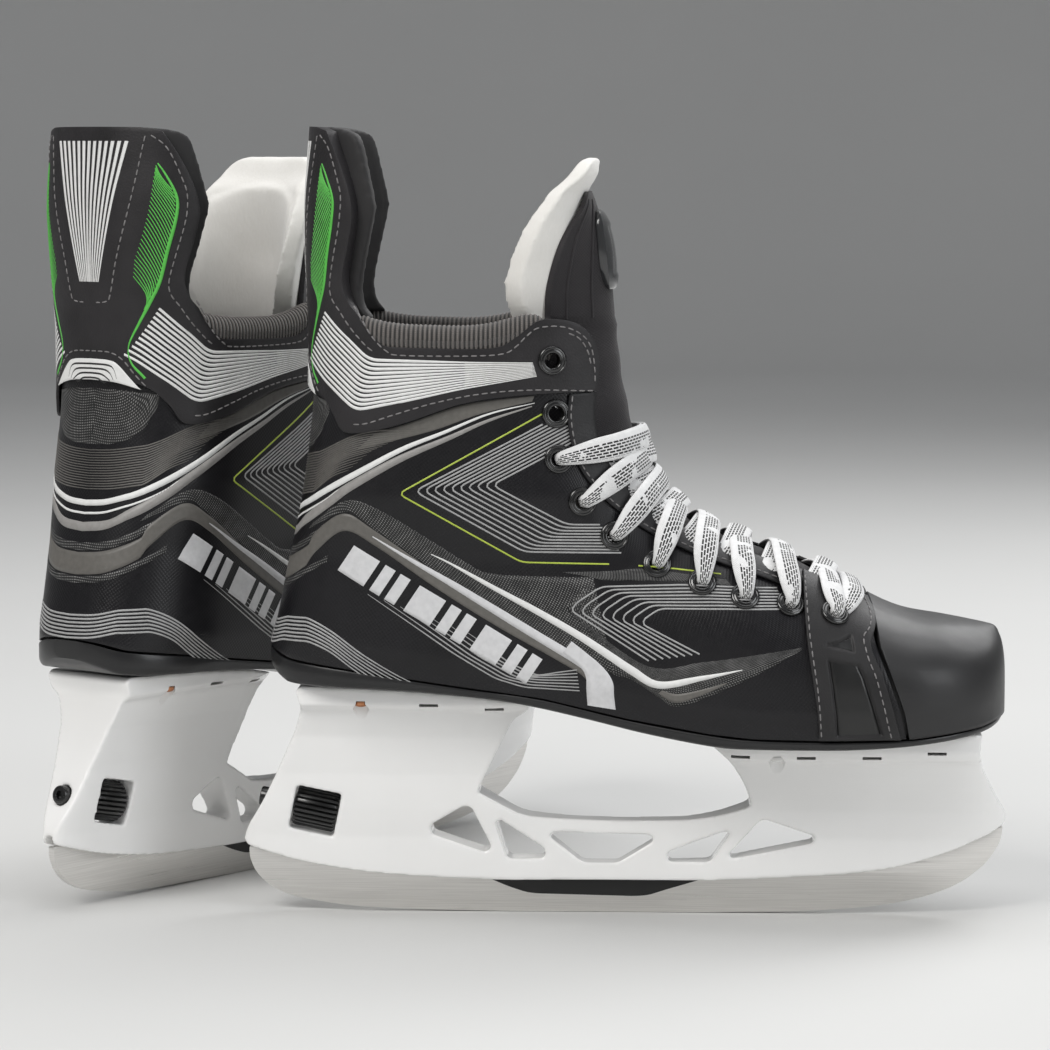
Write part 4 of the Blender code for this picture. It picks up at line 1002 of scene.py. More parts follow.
def holder_mesh():
    """The blade holder, cut to its side view, with its slot, lock pocket, rivet holes and vents."""
    body = Mesh()
    body.tube([holder_section(x) for x in HOLDER_STATIONS])
    side = [filleted(HOLDER_BOTTOM + HOLDER_REST, 1.4, 12)]
    side += [filleted(window, 1.8) for window in TRUSS_WINDOWS]
    made = boolean(body.build("holder", merge=0), [plate_mesh(side, THROUGH)], "INTERSECT")
    slot = [(-152, 4), *[(x, z - 3) for x, z in RUNNER_EDGE[1:-1]], (152, 20)]
    tools = [plate_mesh([[*slot, *SLOT_TOP]], SLOT_HALF + 0.1)]
    x, _, z = LOCK_CENTRE
    turn = Matrix.Rotation(LOCK_TILT, 4, "Y")
    tools.append(box_mesh((x + WHEEL_REAR - WHEEL_ROOM_ENDS, -THROUGH, z - WHEEL_ROOM_BELOW),
                          (x + WHEEL_FRONT + WHEEL_ROOM_ENDS, THROUGH, z + WHEEL_ROOM_ABOVE), turn))
    tools.append(cylinder_mesh(on_lock(-30), on_lock(14), BORE_RADIUS))
    tools.append(cylinder_mesh(on_lock(-40), on_lock(PLUG_START + 0.4), PLUG_RADIUS + GAP))
    tools.append(box_mesh((-111.5, -4.4, 31), (-96, 4.4, 42.6)))
    for tool in tools:
        made = boolean(made, [tool])
    voxel = HOLDER_VOXEL
    made = modified(made, ("REMESH", {"mode": "VOXEL", "voxel_size": voxel}),
                    ("SMOOTH", {"factor": 0.5, "iterations": 5}))
    cuts = []
    for x, side in RIVETS.values():
        y, seat = side * RIVET_OUT, rivet_seat(x)
        cuts.append(cylinder_mesh((x, y, seat - RIVET_HOLE_DEPTH), (x, y, seat), RIVET_HOLE))
    long, tall = VENT_HALF
    for x, z in VENTS:
        for near, far in ((-40, -12), (12, 40)):
            cuts.append(box_mesh((x - long, near, z - tall), (x + long, far, z + tall)))
    made = boolean(made, cuts)
    made.shade_smooth()
    return sharpened(made, 50)


def rivet_seat(x):
    """The height at which a rivet's head sits, under the holder's flange."""
    return float(read(SOLE, x)) - FLANGE


def turned_mesh(profile, place, steps=28, closed=True):
    """Points of a body turned about its own Z axis from a profile of (radius, height)."""
    points = list(profile) + ([profile[0]] if closed else [])
    turns = (2 * math.pi * k / steps for k in range(steps + 1))
    rings = np.array([[(r * math.cos(a), r * math.sin(a), h, 1) for r, h in points] for a in turns])
    return (rings @ np.array(place).T)[..., :3]


def facing(point, out):
    """Matrix that stands a turned body at a point, its axis along a direction."""
    turn = Vector(out).to_track_quat("Z", "Y").to_matrix().to_4x4()
    return Matrix.Translation(Vector(point)) @ turn


def rivet_mesh(x, side):
    profile = [(0, -2.1), (1.2, -2.05), (2.0, -1.8), (2.5, -1.35), (2.65, -0.8), (2.6, 0), (1.6, 0),
               (1.6, 3.0), (0, 3.0)]
    made = Mesh()
    place = Matrix.Translation((x, side * RIVET_OUT, rivet_seat(x) - GAP))
    made.grid(turned_mesh(profile, place, closed=False))
    return sharpened(made.build("rivet"), 50)


def runner_mesh():
    edge = filleted([*RUNNER_EDGE, *RUNNER_TOP], 0.7, 12, 30)
    return sharpened(modified(plate_mesh([edge], RUNNER_HALF), bevel(0.3, angle=60)), 35)


RUNNER_BAND = [(-54, 13.4), (-45, 9.6), (-38, 7.4), (-34, 7), (4, 6.2), (9, 6.6), (15, 8.6),
               (31, 13.4)]


def runner_band_mesh():
    """The plain dark band printed on both faces of the runner, under the bridge."""
    outline = filleted(RUNNER_BAND, 0.6, 4)
    return joined([plate_mesh([outline], 0.04, side * (RUNNER_HALF + 0.03)) for side in SIDES])


def wheel_mesh():
    """The ribbed wheel that tightens the runner's clamp."""
    ribs, per_rib, groove_depth = 26, 8, 0.9
    frame_turn = np.array(lock_axis().to_track_quat("X", "Z").to_matrix())
    made = Mesh()
    sections = []
    for d, inset in ((WHEEL_REAR, 0.9), (WHEEL_REAR + 0.4, 0.35), (WHEEL_REAR + 1, 0),
                     (WHEEL_FRONT - 1, 0), (WHEEL_FRONT - 0.4, 0.35), (WHEEL_FRONT, 0.9)):
        loop = []
        for i in range(ribs * per_rib):
            a = 2 * math.pi * i / (ribs * per_rib)
            groove = groove_depth * max(0.0, math.cos(ribs * a)) ** 1.5
            r = WHEEL_RADIUS - groove - inset
            loop.append(np.array(on_lock(d)) + frame_turn @ (0, r * math.cos(a), r * math.sin(a)))
        sections.append(loop)
    made.tube(sections)
    bore = cylinder_mesh(on_lock(-12), on_lock(9), BORE_RADIUS)
    return sharpened(boolean(made.build("lock_wheel"), [bore]), 40)


def plug_mesh():
    """The cap over the tool hole in the back of the rear tower, with a round socket."""
    profile = [(0, 0), (PLUG_RADIUS, 0), (PLUG_RADIUS, 4.3), (PLUG_RADIUS - 0.25, 4.8),
               (PLUG_RADIUS - 0.8, 5.0), (1.7, 5.0), (1.5, 4.7), (1.5, 3.4), (0, 3.4)]
    made = Mesh()
    made.grid(turned_mesh(profile, facing(on_lock(PLUG_START), -lock_axis()), 30, closed=False))
    return sharpened(made.build("rear_plug"), 40)


SOLE_REAR, SOLE_LENGTH = -136.6, 280.5
SOLE_LEAST, SOLE_LEAST_HALF = 1.2, 4.0
SOLE_EDGE = 3.4


def outsole_mesh():
    """The sole plate: flat above and below, with a rounded lower edge, closely sliced at its ends."""
    sections = []
    welt, sole = smooth(WELT, 4), smooth(SOLE, 4)
    for x in SOLE_REAR + SOLE_LENGTH * (1 - np.cos(np.linspace(0, math.pi, 96))) / 2:
        zt, zb = float(read(welt, x)), float(read(sole, x))
        zb = min(zb, zt - SOLE_LEAST)
        wt = max(float(half_width(x, zt + 0.8)) + 0.3, SOLE_LEAST_HALF)
        edge = min(SOLE_EDGE, (zt - zb) * 0.75)
        half = [(wt - 1.2, zt), (wt - 0.25, zt - 0.15), (wt, zt - 0.7), (wt, zb + edge)]
        for t in (0.25, 0.5, 0.75, 1.0):
            a = t * math.pi / 2
            half.append((wt - edge * (1 - math.cos(a)), zb + edge * (1 - math.sin(a))))
        half += [(wt * 0.62, zb), (wt * 0.3, zb)]
        c = float(swing(x))
        sections.append([(x, y + c, z) for y, z in half] + [(x, c - y, z) for y, z in half[::-1]])
    made = Mesh()
    made.tube(sections)
    return sharpened(made.build("outsole"), 45)


# ---------------------------------------------------------------- eyelets and laces

EYELET_RING = [(2.75, -2.6), (2.75, 0.15), (2.95, 0.6), (3.35, 0.85), (3.9, 0.88), (4.15, 0.62),
               (4.5, 0.62), (4.75, 0.82), (5.1, 0.72), (5.4, 0.4), (5.5, 0), (5.45, -0.4), (3.2, -0.4),
               (3.2, -2.6)]


EYELET_HOLE = 3.0


def eyelet_lift(index):
    return OVERLAY_LIFT if index in (0, len(EYELETS) - 1) else SHELL_LIFT


def flat_skin(x, z, side, lift, reach=4.0):
    """A point of the surface and the direction of the plane that best fits the surface round it."""
    point = skin(x, z, side, lift)[0]
    around = [skin(x + reach * math.cos(a), z + reach * math.sin(a), side, lift)[0]
              for a in np.linspace(0, 2 * math.pi, 8, endpoint=False)]
    normals = [np.cross(a - point, b - point) for a, b in zip(around, around[1:] + around[:1])]
    out = unit(np.sum(normals, axis=0))
    return point, out * (1 if out[1] * side > 0 else -1)


def eyelets_mesh():
    made = Mesh()
    for side in SIDES:
        for index, (x, z) in enumerate(EYELETS):
            point, out = flat_skin(x, z, side, eyelet_lift(index))
            made.grid(turned_mesh(EYELET_RING, facing(point + out * GAP, out)))
    return sharpened(made.build("eyelets"), 50)


def eyelet_holes(index):
    """Cutters for an eyelet's hole on both sides."""
    tools = []
    for side in SIDES:
        point, out = flat_skin(*EYELETS[index], side, eyelet_lift(index))
        tools.append(cylinder_mesh(point - out * 6, point + out * 4, EYELET_HOLE, 24))
    return tools


LACE_WIDE = 9.6
LACE_THICK = 1.7
LACE_ROUND = 20
# Stations of a lace on its way up to the ridge and down again: share of the way, lift, width.
LACE_RISE = ((0.42, 3.7, 9.2), (0.74, 3.0, 9.6))
LACE_FALL = ((0.74, 1.2, 9.6), (0.42, -2.8, 9.0), (0.2, -5.0, 7.0))
RIDGE_LIFT = 2.0
CROSSING = 1.5
BAR_LIFT, BAR_TUCK = 2.6, -2.6
BAR_WIDTHS = ((0.0, 4), (0.25, 6), (0.55, 8.6), (0.85, 9.2))


def over_boot(index, side, share, lift):
    """A point lifted over the boot, at a share of the way from an eyelet to the ridge."""
    x, z = EYELETS[index]
    top, up = ridge_point(index)
    if share >= 1:
        return top + up * lift
    u, w = x + (top[0] - x) * share, z + (top[2] - z) * share
    point, out = flat_skin(u, w, side, 0.0, 2.5) if share < 0.8 else skin(u, w, side)
    return point + out * lift


def lace_run(stations, count=40):
    """A flat lace through stations: (point, the way it faces there, its width there)."""
    rows = smooth([(*point, *facing, width) for point, facing, width in stations], 10)
    run = lengths(rows[:, :3])
    shares = np.linspace(0, 1, count) * run[-1]
    rows = np.stack([np.interp(shares, run, column) for column in rows.T], -1)
    centre, faces, wide = rows[:, :3], rows[:, 3:6], rows[:, 6]
    ahead = unit(np.gradient(centre, axis=0))
    across = unit(np.cross(faces, ahead))
    up = np.cross(ahead, across)
    sections, uvs = [], []
    for c, a, n, w, s in zip(centre, across, up, wide, shares):
        thick = LACE_THICK * (1 + 0.9 * (1 - w / LACE_WIDE))
        loop, row = [], []
        for k in range(LACE_ROUND):
            t = 2 * math.pi * k / LACE_ROUND
            u = math.copysign(abs(math.cos(t)) ** 0.75, math.cos(t)) * w / 2
            v = math.copysign(abs(math.sin(t)) ** 0.8, math.sin(t)) * thick / 2
            bow = 0.5 * (1 - (2 * u / w) ** 2) - 0.25
            loop.append(c + a * u + n * (v + bow))
            row.append((s, u / w * LACE_WIDE))
        sections.append(loop)
        uvs.append(row)
    return sections, uvs


def lace_side(index, side, out, ridge, up, stations, over=0.0):
    """A lace's stations on one side, between an eyelet and a point over the ridge."""
    top = ridge_point(index)[0]
    return [(over_boot(index, side, share, lift + over * share) + (ridge - top) * share,
             out * (1 - share) + up * share, width) for share, lift, width in stations]


def laces_mesh():
    """Two laces from the toe up, crossing over the tongue between each pair of eyelets."""
    made = Mesh()
    for index in range(LACED):
        for side in SIDES:
            upper = index + 1 if index < LACED - 1 else index
            over = CROSSING if (side > 0) == (index % 2 == 0) else 0.0
            foot, out = flat_skin(*EYELETS[index], side, eyelet_lift(index))
            top_a, up_a = ridge_point(index)
            top_b, up_b = ridge_point(upper)
            ridge = (top_a + top_b) / 2
            up = unit(up_a + up_b)
            to_ridge = unit(over_boot(index, side, 0.45, 2.0) - foot)
            far_out = flat_skin(*EYELETS[upper], -side, 0.0)[1]
            stations = [(foot - out * 3.4, out + to_ridge * 0.2, 4.2),
                        (foot - out * 0.6, out - to_ridge * 0.6, 4.6),
                        (foot + out * 2.0 + to_ridge * 1.6, out - to_ridge * 0.5, 5.6)]
            stations += lace_side(index, side, out, ridge, up, LACE_RISE, over)
            stations.append((ridge + up * (RIDGE_LIFT + over), up, LACE_WIDE))
            stations += lace_side(upper, -side, far_out, ridge, up, LACE_FALL)
            made.tube(*lace_run(stations))
    bar = []
    for side, way in ((-1, BAR_WIDTHS), (1, BAR_WIDTHS[::-1])):
        out = flat_skin(*EYELETS[0], side, 0.0)[1]
        for share, width in way:
            point = over_boot(0, side, share, BAR_LIFT if share else BAR_TUCK)
            bar.append((point + np.array([2.0, 0, -1.0]) * (share > 0),
                        out * (1 - share) + np.array([0.35, 0, 0.9]) * share, width))
    made.tube(*lace_run(bar, 60))
    return made.build("laces")



# ---------------------------------------------------------------- printed lines and stitching

PRINTS = {}
RIM_DEPTH = 0.12
RIDGE_ZONE = 6.0


def ink(name):
    return PRINTS.setdefault(name, Mesh())


def on_skin(line, side, lift=0.0):
    """Points of the surface on a side-view line, exact right up to the back's middle line."""
    x, z = np.moveaxis(np.asarray(line, float), -1, 0)
    x = np.maximum(x, back_x(z))
    return skin(x, z, side, lift)


def cornered(points, radius=2.5):
    """A polyline with each of its corners rounded off."""
    p = np.array(points, float)
    out = [p[0]]
    for a, b, c in zip(p, p[1:], p[2:]):
        r = min(radius, np.linalg.norm(a - b) * 0.45, np.linalg.norm(c - b) * 0.45)
        s, e = b + unit(a - b) * r, b + unit(c - b) * r
        out += [(1 - t) ** 2 * s + 2 * t * (1 - t) * b + t ** 2 * e for t in np.linspace(0, 1, 5)]
    return np.array(out + [p[-1]])


def spread(line, side, step=1.3, count=None):
    """Side-view points of a line, evenly spaced over the boot's own surface."""
    line = np.array(line, float)
    from_ridge = line[0, 0] - back_x(line[0, 1]) < 0.1
    shares = np.linspace(0, 1, 700) ** (3 if from_ridge else 1)
    dense = along(line, shares)
    keep = dense[:, 0] - back_x(dense[:, 1]) >= RIDGE_REACH
    keep[0] = True
    dense = dense[keep]
    run = lengths(on_skin(dense, side)[0])
    count = count or max(int(run[-1] / step) + 1, 3)
    at = np.linspace(0, run[-1], count)
    return np.stack([np.interp(at, run, dense[:, k]) for k in range(2)], -1), at


def beside_ridge(points, inset):
    """The x of side-view points, which near the back keep this distance from it."""
    share = ease(inset / RIDGE_ZONE)
    return points[..., 0] * share + (back_x(points[..., 1]) + inset) * (1 - share)


def band(mesh, low, high, side, lift, across, proud=PRINT):
    """A printed area between two side-view lines with the same number of points."""
    low, high = np.asarray(low, float), np.asarray(high, float)
    shares = np.linspace(0, 1, across + 1)[:, None, None]
    net = low[None] * (1 - shares) + high[None] * shares
    inset = ((low[:, 0] - back_x(low[:, 1]))[None] * (1 - shares[..., 0])
             + (high[:, 0] - back_x(high[:, 1]))[None] * shares[..., 0])
    net[..., 0] = beside_ridge(net, inset)
    net = np.concatenate([net[:1], net, net[-1:]])
    lifts = np.full(net.shape[:2], lift + proud)
    lifts[0] = lifts[-1] = lift - RIM_DEPTH
    points, out = on_skin(net, side, lifts)
    a, b = points[2, 1] - points[1, 0], points[2, 0] - points[1, 1]
    facing_out = np.cross(a, b) @ out[1, 0] > 0
    mesh.grid(points, cloth_map(points), flip=bool(facing_out))


def ribbon(mesh, line, widths, side, lift, proud=PRINT, step=1.3):
    """A printed line of varying width along a side-view line."""
    centre, at = spread(line, side, step)
    p, out = on_skin(centre, side)
    b = np.cross(out, unit(np.gradient(p, axis=0)))
    widths = np.atleast_1d(widths)
    half = np.interp(at / at[-1], np.linspace(0, 1, len(widths)), widths)[:, None] / 2
    edges = []
    for way in (-1, 1):
        edge = centre + way * b[:, [0, 2]] * half
        edge[:, 0] = beside_ridge(edge, centre[:, 0] - back_x(centre[:, 1]))
        edges.append(edge)
    band(mesh, *edges, side, lift, 2, proud)


def ribbons(mesh, line, widths, lift, proud=PRINT, step=1.3):
    """The same printed line on both sides."""
    for side in SIDES:
        ribbon(mesh, line, widths, side, lift, proud, step)


STITCH_LENGTH, STITCH_GAP, STITCH_WIDTH, STITCH_HEIGHT = 2.3, 1.0, 0.62, 0.36


def stitches(mesh, line, side, lift):
    """A row of thread stitches standing a little proud of the surface."""
    line = np.array(line, float)
    dense, at = spread(line, side, 0.4)
    start = STITCH_GAP / 2
    while start + STITCH_LENGTH < at[-1]:
        run = start + np.array([0, 0.12, 0.5, 0.88, 1]) * STITCH_LENGTH
        x, z = (np.interp(run, at, dense[:, k]) for k in range(2))
        p, out = on_skin(np.stack([x, z], -1), side, lift)
        b = np.cross(out, unit(np.gradient(p, axis=0)))
        sections = []
        for k, size in enumerate((0.35, 0.9, 1, 0.9, 0.35)):
            w, h = STITCH_WIDTH / 2 * size, STITCH_HEIGHT * size
            sections.append([p[k] + b[k] * w * c + out[k] * h * s for c, s in
                             ((1, -0.4), (0.8, 0.65), (0, 1), (-0.8, 0.65), (-1, -0.4))])
        mesh.tube(sections)
        start += STITCH_LENGTH + STITCH_GAP


def from_back(y, z):
    """Side-view points of the boot's surface at distances from its middle, near the back."""
    y, z = np.broadcast_arrays(np.abs(np.asarray(y, float)), np.asarray(z, float))
    xs = back_x(z)[:, None] + 44 * np.linspace(0, 1, 200) ** 3
    widths = half_width(xs, z[:, None])
    return np.stack([[np.interp(*row) for row in zip(y, widths, xs)], z], -1)


def around_back(points, count=16):
    """Side-view line through points seen from behind, each (distance from the middle, height)."""
    return from_back(*smooth(points, count).T)


def wrapped(behind, beside):
    """A side-view line from the back's middle line, given as seen from behind, on along the side."""
    start = around_back(behind, 8)
    return np.concatenate([start, smooth([tuple(start[-1]), *beside], 8)[1:]])


def nested(mesh, outer, inner, count, widths, lift, radius=2.5):
    """Lines in steps between two outlines with the same number of points, on both sides."""
    outer, inner = np.array(outer, float), np.array(inner, float)
    for k in range(count):
        share = k / (count - 1)
        ribbons(mesh, cornered(outer * (1 - share) + inner * share, radius), widths, lift)


def area(mesh, low, high, lift, count=60, across=8, proud=PRINT, curved=True):
    """A printed area between two curves, on both sides."""
    for side in SIDES:
        edges = [spread(smooth(line, 8) if curved and len(line) < 40 else line, side, count=count)[0]
                 for line in (low, high)]
        band(mesh, *edges, side, lift, across, proud)


def both(mesh, line, widths, lift, curved=True, proud=PRINT):
    ribbons(mesh, smooth(line, 8) if curved else cornered(line), widths, lift, proud)


FAN_LINES = 16


def ankle_graphics():
    """The lines fanning out from the top of the boot's side to its heel."""
    base = SHELL_LIFT
    upper = [(-94, 188.5), (-81, 192.5), (-64, 198.5), (-51, 201), (-34, 202.8)]
    lower = [(-101, 182), (-86, 186), (-71, 190), (-54, 196), (-35, 200.6)]
    area(ink("olive"), lower, upper, base, 50, 6)
    for k in range(FAN_LINES):
        share = k / (FAN_LINES - 1)
        tip = along(np.array([(-104, 174.5), (-95, 182), (-84, 187), (-74, 190.6)]), share)
        middle = along(np.array([(-111, 171.5), (-107, 178), (-102, 184), (-98, 188.6)]), share)
        ridge = 163 + 15 * share
        line = wrapped([(0, ridge), (12, ridge + 0.6), (24, ridge + 2.4)], [tuple(middle), tuple(tip)])
        ribbons(ink("olive_fine"), line, [0.3, 0.5, 0.6, 0.6, 0.15], base, PRINT + 0.03)
    streaks = (("white", [(0, 157.6), (10, 158.4), (20, 161.0)],
                [(-112, 167), (-98, 175), (-83, 183), (-68, 189), (-51, 196), (-34, 200)],
                [2.3, 2.4, 2.4, 2.0, 1.4, 0.8, 0.25]),
               ("grey", [(0, 148.4), (12, 149.8), (21, 154.4)],
                [(-112, 162), (-103, 168.6), (-85, 178.8), (-66, 187), (-51, 193.6), (-35, 198.8)],
                [3.6, 3.8, 3.6, 3.0, 2.2, 1.3, 0.4]),
               ("white", [(0, 153.6), (10, 154.4), (20, 157.4)], [(-114, 162.4), (-108, 167)],
                [0.9, 0.9, 0.7, 0.2]))
    for name, behind, beside, widths in streaks:
        ribbons(ink(name), wrapped(behind, beside), widths, base)


def quarter_graphics():
    """The nested pointed lines on the boot's side behind the laces."""
    base = SHELL_LIFT
    both(ink("lime"), [(-31.4, 195.8), (-85, 166), (-39, 140), (-6, 139.4)], 0.6, base, curved=False)
    both(ink("lime"), [(5, 138.8), (16, 138), (36, 135.8)], 0.55, base)
    for k in range(10):
        share = k / 9
        outer = np.array([(-31, 192), (-79, 167), (-38, 144), (-1.5, 143.6)])
        inner = np.array([(-14.6, 188), (-50, 169.4), (-22, 154.4), (-9.6, 154.2)])
        line = outer * (1 - share) + inner * share
        line[0] = line[1] + (line[0] - line[1]) * (1.0 if share < 0.12 else 1.06)
        line[3, 0] = -1.5 - 8 * share
        ribbons(ink("grey_line"), cornered(line, 3), 0.62, base)
    nested(ink("grey_line"),
           [(-97, 127.6), (-83, 118), (-65, 105.4), (-49, 95.6), (-38, 92.4), (-17, 91.6)],
           [(-60, 113.6), (-52, 108), (-44, 102), (-33, 97), (-26, 98.4), (-18, 99.6)], 7,
           [0.15, 0.5, 0.5, 0.4], base)
    nested(ink("grey_line"), [(9, 103.6), (-20.4, 122), (-18, 125), (-9, 131), (22, 132), (57, 130.6)],
           [(28, 106.6), (7, 117), (7, 119), (13, 123.2), (38, 123.4), (60, 123.2)], 8, 0.6, base)


BAR_START, BAR_RUN, BAR_LEAN = (-108.5, 136.4), (0.857, -0.514), (6.4, 9.6)
BAR_GROUP = 29.0
BARS = [(0, 11.5), (14, 4.4), (20.6, 4.4)]


def side_graphics():
    """The diagonal bands along the boot's side, its woven areas and the generic bars between them."""
    base = SHELL_LIFT
    low = wrapped([(0, 130), (12, 131), (20, 133.8), (25, 137)],
                  [(-117, 143), (-106, 151.4), (-94, 146), (-72, 130.6), (-49, 116), (-26, 103.4),
                   (-15, 96.6), (-12, 89)])
    high = wrapped([(0, 138.6), (12, 139.6), (20, 142.2), (25, 145)],
                   [(-117, 150.6), (-106, 158), (-95, 152.4), (-72, 136.4), (-49, 121.6), (-26, 108.6),
                    (-12, 100.6), (-9, 92)])
    area(ink("olive"), low, high, base, 120, 5)
    area(ink("weave"), [(-120, 151.4), (-105, 158.8), (-95, 152.8), (-72, 136.8), (-49, 122), (-26, 109),
                        (-10, 100.6), (-4, 98)],
         [(-118, 154), (-105, 163), (-92, 159.6), (-72, 147.6), (-60, 140), (-50, 135.6), (-24, 134.6),
          (-12, 134.6)], base, 110, 10, WEAVE_PRINT)
    area(ink("weave"), [(-4, 98), (4, 95.6), (12, 90.4), (19, 86.6), (30, 90), (48, 98.6), (66, 108.4)],
         [(-12, 134.6), (-21.6, 124), (-19, 120.6), (8, 101.8), (29, 103.6), (50, 106.8), (66, 109.4)],
         base, 80, 8, WEAVE_PRINT)
    area(ink("olive"), [(12.6, 91.4), (19.2, 88), (30, 91.6), (38, 95.6)],
         [(14, 92.6), (20, 91.4), (30, 93.6), (38.4, 96.2)], base, 20, 3, PRINT + 0.02)
    area(ink("weave"), [(-12, 134.4), (-7, 133.4), (8, 133.4), (22, 133), (40, 131.6)],
         [(-24, 136.4), (-6, 136.8), (5, 137.8), (20, 136.2), (38, 133.8)], base, 40, 4, WEAVE_PRINT)
    both(ink("silver"), [(-95, 149.6), (-80, 140.4), (-65, 131.6), (-49, 121.8), (-34, 112.8),
                         (-20, 104.6), (-13, 100)],
         [0.4, 1.6, 2.6, 3.2, 3.4, 3.4], base, proud=TOP_PRINT)
    area(ink("silver"), [(-14, 86), (-14.4, 92), (-14.6, 97), (-17, 101), (-23.4, 106)],
         [(-3.4, 84.6), (-4, 90), (-4.6, 95.6), (-9, 101.6), (-20, 110.4)], base, 30, 5, 0.18)
    both(ink("white"), [(-73, 143), (-65, 139), (-49, 130), (-34, 122), (-18, 113), (-6, 105.4),
                        (3, 99.6), (13, 94.6), (29, 97.6), (44, 101)],
         [0.3, 1.6, 2.4, 2.8, 3.2, 2.4, 0.3], base, proud=0.19)
    forward, lean = np.array(BAR_RUN), np.array(BAR_LEAN)
    for group in range(3):
        for offset, width in BARS:
            start = np.array(BAR_START) + forward * (BAR_GROUP * group + offset)
            edges = [along(np.array([start + lean * h, start + lean * h + forward * width]),
                           np.linspace(0, 1, 9)) for h in (0, 1)]
            for side in SIDES:
                band(ink("silver"), *edges, side, base, 8, TOP_PRINT)


HEEL_HIGH = np.array([(-127.5, 117.4), (-121, 117.6), (-111, 113), (-99, 104.4), (-88, 97.6),
                      (-80, 93.4)])
HEEL_LOW = np.array([(-127.5, 107.6), (-121, 108.8), (-112, 105.4), (-104, 99.6), (-97, 94.8),
                     (-93, 93)])


def heel_graphics():
    """The level lines round the heel, its woven area, and the bands that sweep forward from it."""
    base = SHELL_LIFT
    for k in range(7):
        share = k / 6
        ridge = 114.6 - 8.6 * share
        side_line = HEEL_HIGH * (1 - share) + HEEL_LOW * share
        to_ridge = around_back([(21, ridge + 2.6), (12, ridge + 0.6), (0, ridge)], 8)
        full = np.concatenate([smooth(side_line[::-1], 6)[:-6], to_ridge])[::-1]
        ribbons(ink("grey_line"), full, [0.75, 0.75, 0.6, 0.3], base)
    for rise, thick in ((9.3, 3.0), (-3.2, 2.6)):
        edges = [around_back([(0, z), (12, z + 1), (20, z + 3.7), (27, z + 8.4), (31, z + 12.4)])
                 for z in (130 + rise, 130 + rise + thick)]
        area(ink("weave"), *edges, base, 40, 3, WEAVE_PRINT, curved=False)
    area(ink("weave"),
         around_back([(0, 180.4), (9, 180.6), (17, 182.6), (22.6, 187), (26, 194), (27, 199)]),
         around_back([(0, 202), (9, 201.8), (17, 201.4), (22, 201), (25.4, 200.6), (27.2, 200.2)]),
         base, 44, 12, WEAVE_PRINT, curved=False)


HATCH_COUNT, HATCH_FALL = 30, 13.0


def collar_graphics():
    """The nested lines of the ankle band, running on up the tendon guard."""
    over = OVERLAY_LIFT
    area(ink("grey"), [(-60, 206.4), (-50, 207.8), (-35, 209.9)],
         [(-60, 215.6), (-50, 215.6), (-35.4, 215.4)], over, 24, 5, 0.07)
    nested(ink("white"), [(-111.6, 233.6), (-107.6, 228.6), (-95.4, 216.2), (-60, 215.4), (-35, 215.2)],
           [(-117.6, 215.6), (-112.4, 208.6), (-100.4, 197), (-62, 205.4), (-33.6, 210.2)], 12,
           [1.0, 1.0, 1.15, 1.05, 0.7, 0.4, 0.25], over, 3.5)
    green = [(-112.2, 289), (-110.6, 284.6), (-108.2, 276), (-108.6, 268), (-110.4, 256), (-111.8, 244),
             (-113.6, 236), (-115.4, 228), (-117, 219), (-116.6, 212), (-114.4, 206.4)]
    both(ink("green"), green, [0.5, 1.1, 1.3, 1.3, 1.2, 1.1, 1.0], over, proud=TOP_PRINT)
    rear = [(290, -112.4), (279, -114), (266, -115.5), (252.5, -117), (243, -117), (235, -114.6)][::-1]
    front = [(z, x) for x, z in green[:8][::-1]]
    for start in np.linspace(292, 246, HATCH_COUNT):
        falls = np.linspace(0, 1, 7)
        z = start - HATCH_FALL * falls
        line = np.stack([read(rear, z) * (1 - falls) + (read(front, z) - 0.4) * falls, z], -1)
        line = line[line[:, 1] < 288.5]
        ribbons(ink("green"), line, [0.3, 0.44], over, step=0.8)


STRIPE_TOP, STRIPE_LENGTH, STRIPE_PAIRS = 297.5, 54, 6
ARCH = [(0, 213.6), (9, 213.2), (13.4, 211.2), (20.6, 203)]


def guard_graphics():
    """Stripes down the back of the tendon guard, inside its stitched panel."""
    over = OVERLAY_LIFT
    fall = np.linspace(0, 1, 24)
    height = STRIPE_TOP - STRIPE_LENGTH * fall
    for k in range(-STRIPE_PAIRS, STRIPE_PAIRS + 1):
        middle = abs(k) * (2.9 - 2.1 * fall)
        half = np.maximum(0.75 - 0.52 * fall, 0.5 if k == 0 else 0)
        outer = from_back(middle + half, height)
        inner = from_back(np.maximum(middle - half, 0), height)
        for side in (SIDES if k == 0 else [1 if k > 0 else -1]):
            band(ink("white"), inner, outer, side, over, 2)
    area(ink("white"), around_back([(0, 205.4), (9, 205), (15, 204), (21.6, 202)]), around_back(ARCH),
         over, 30, 6, curved=False)
    for k in range(4):
        top = [(0, 211.6 - 1.8 * k), (8.4 - 1.5 * k, 211.3 - 1.8 * k), (11.2 - 1.5 * k, 209.9 - 1.8 * k),
               (12.6 - 1.5 * k, 206 - 0.4 * k)]
        ribbons(ink("dark"), around_back(top), 0.7, over, PRINT + 0.05)


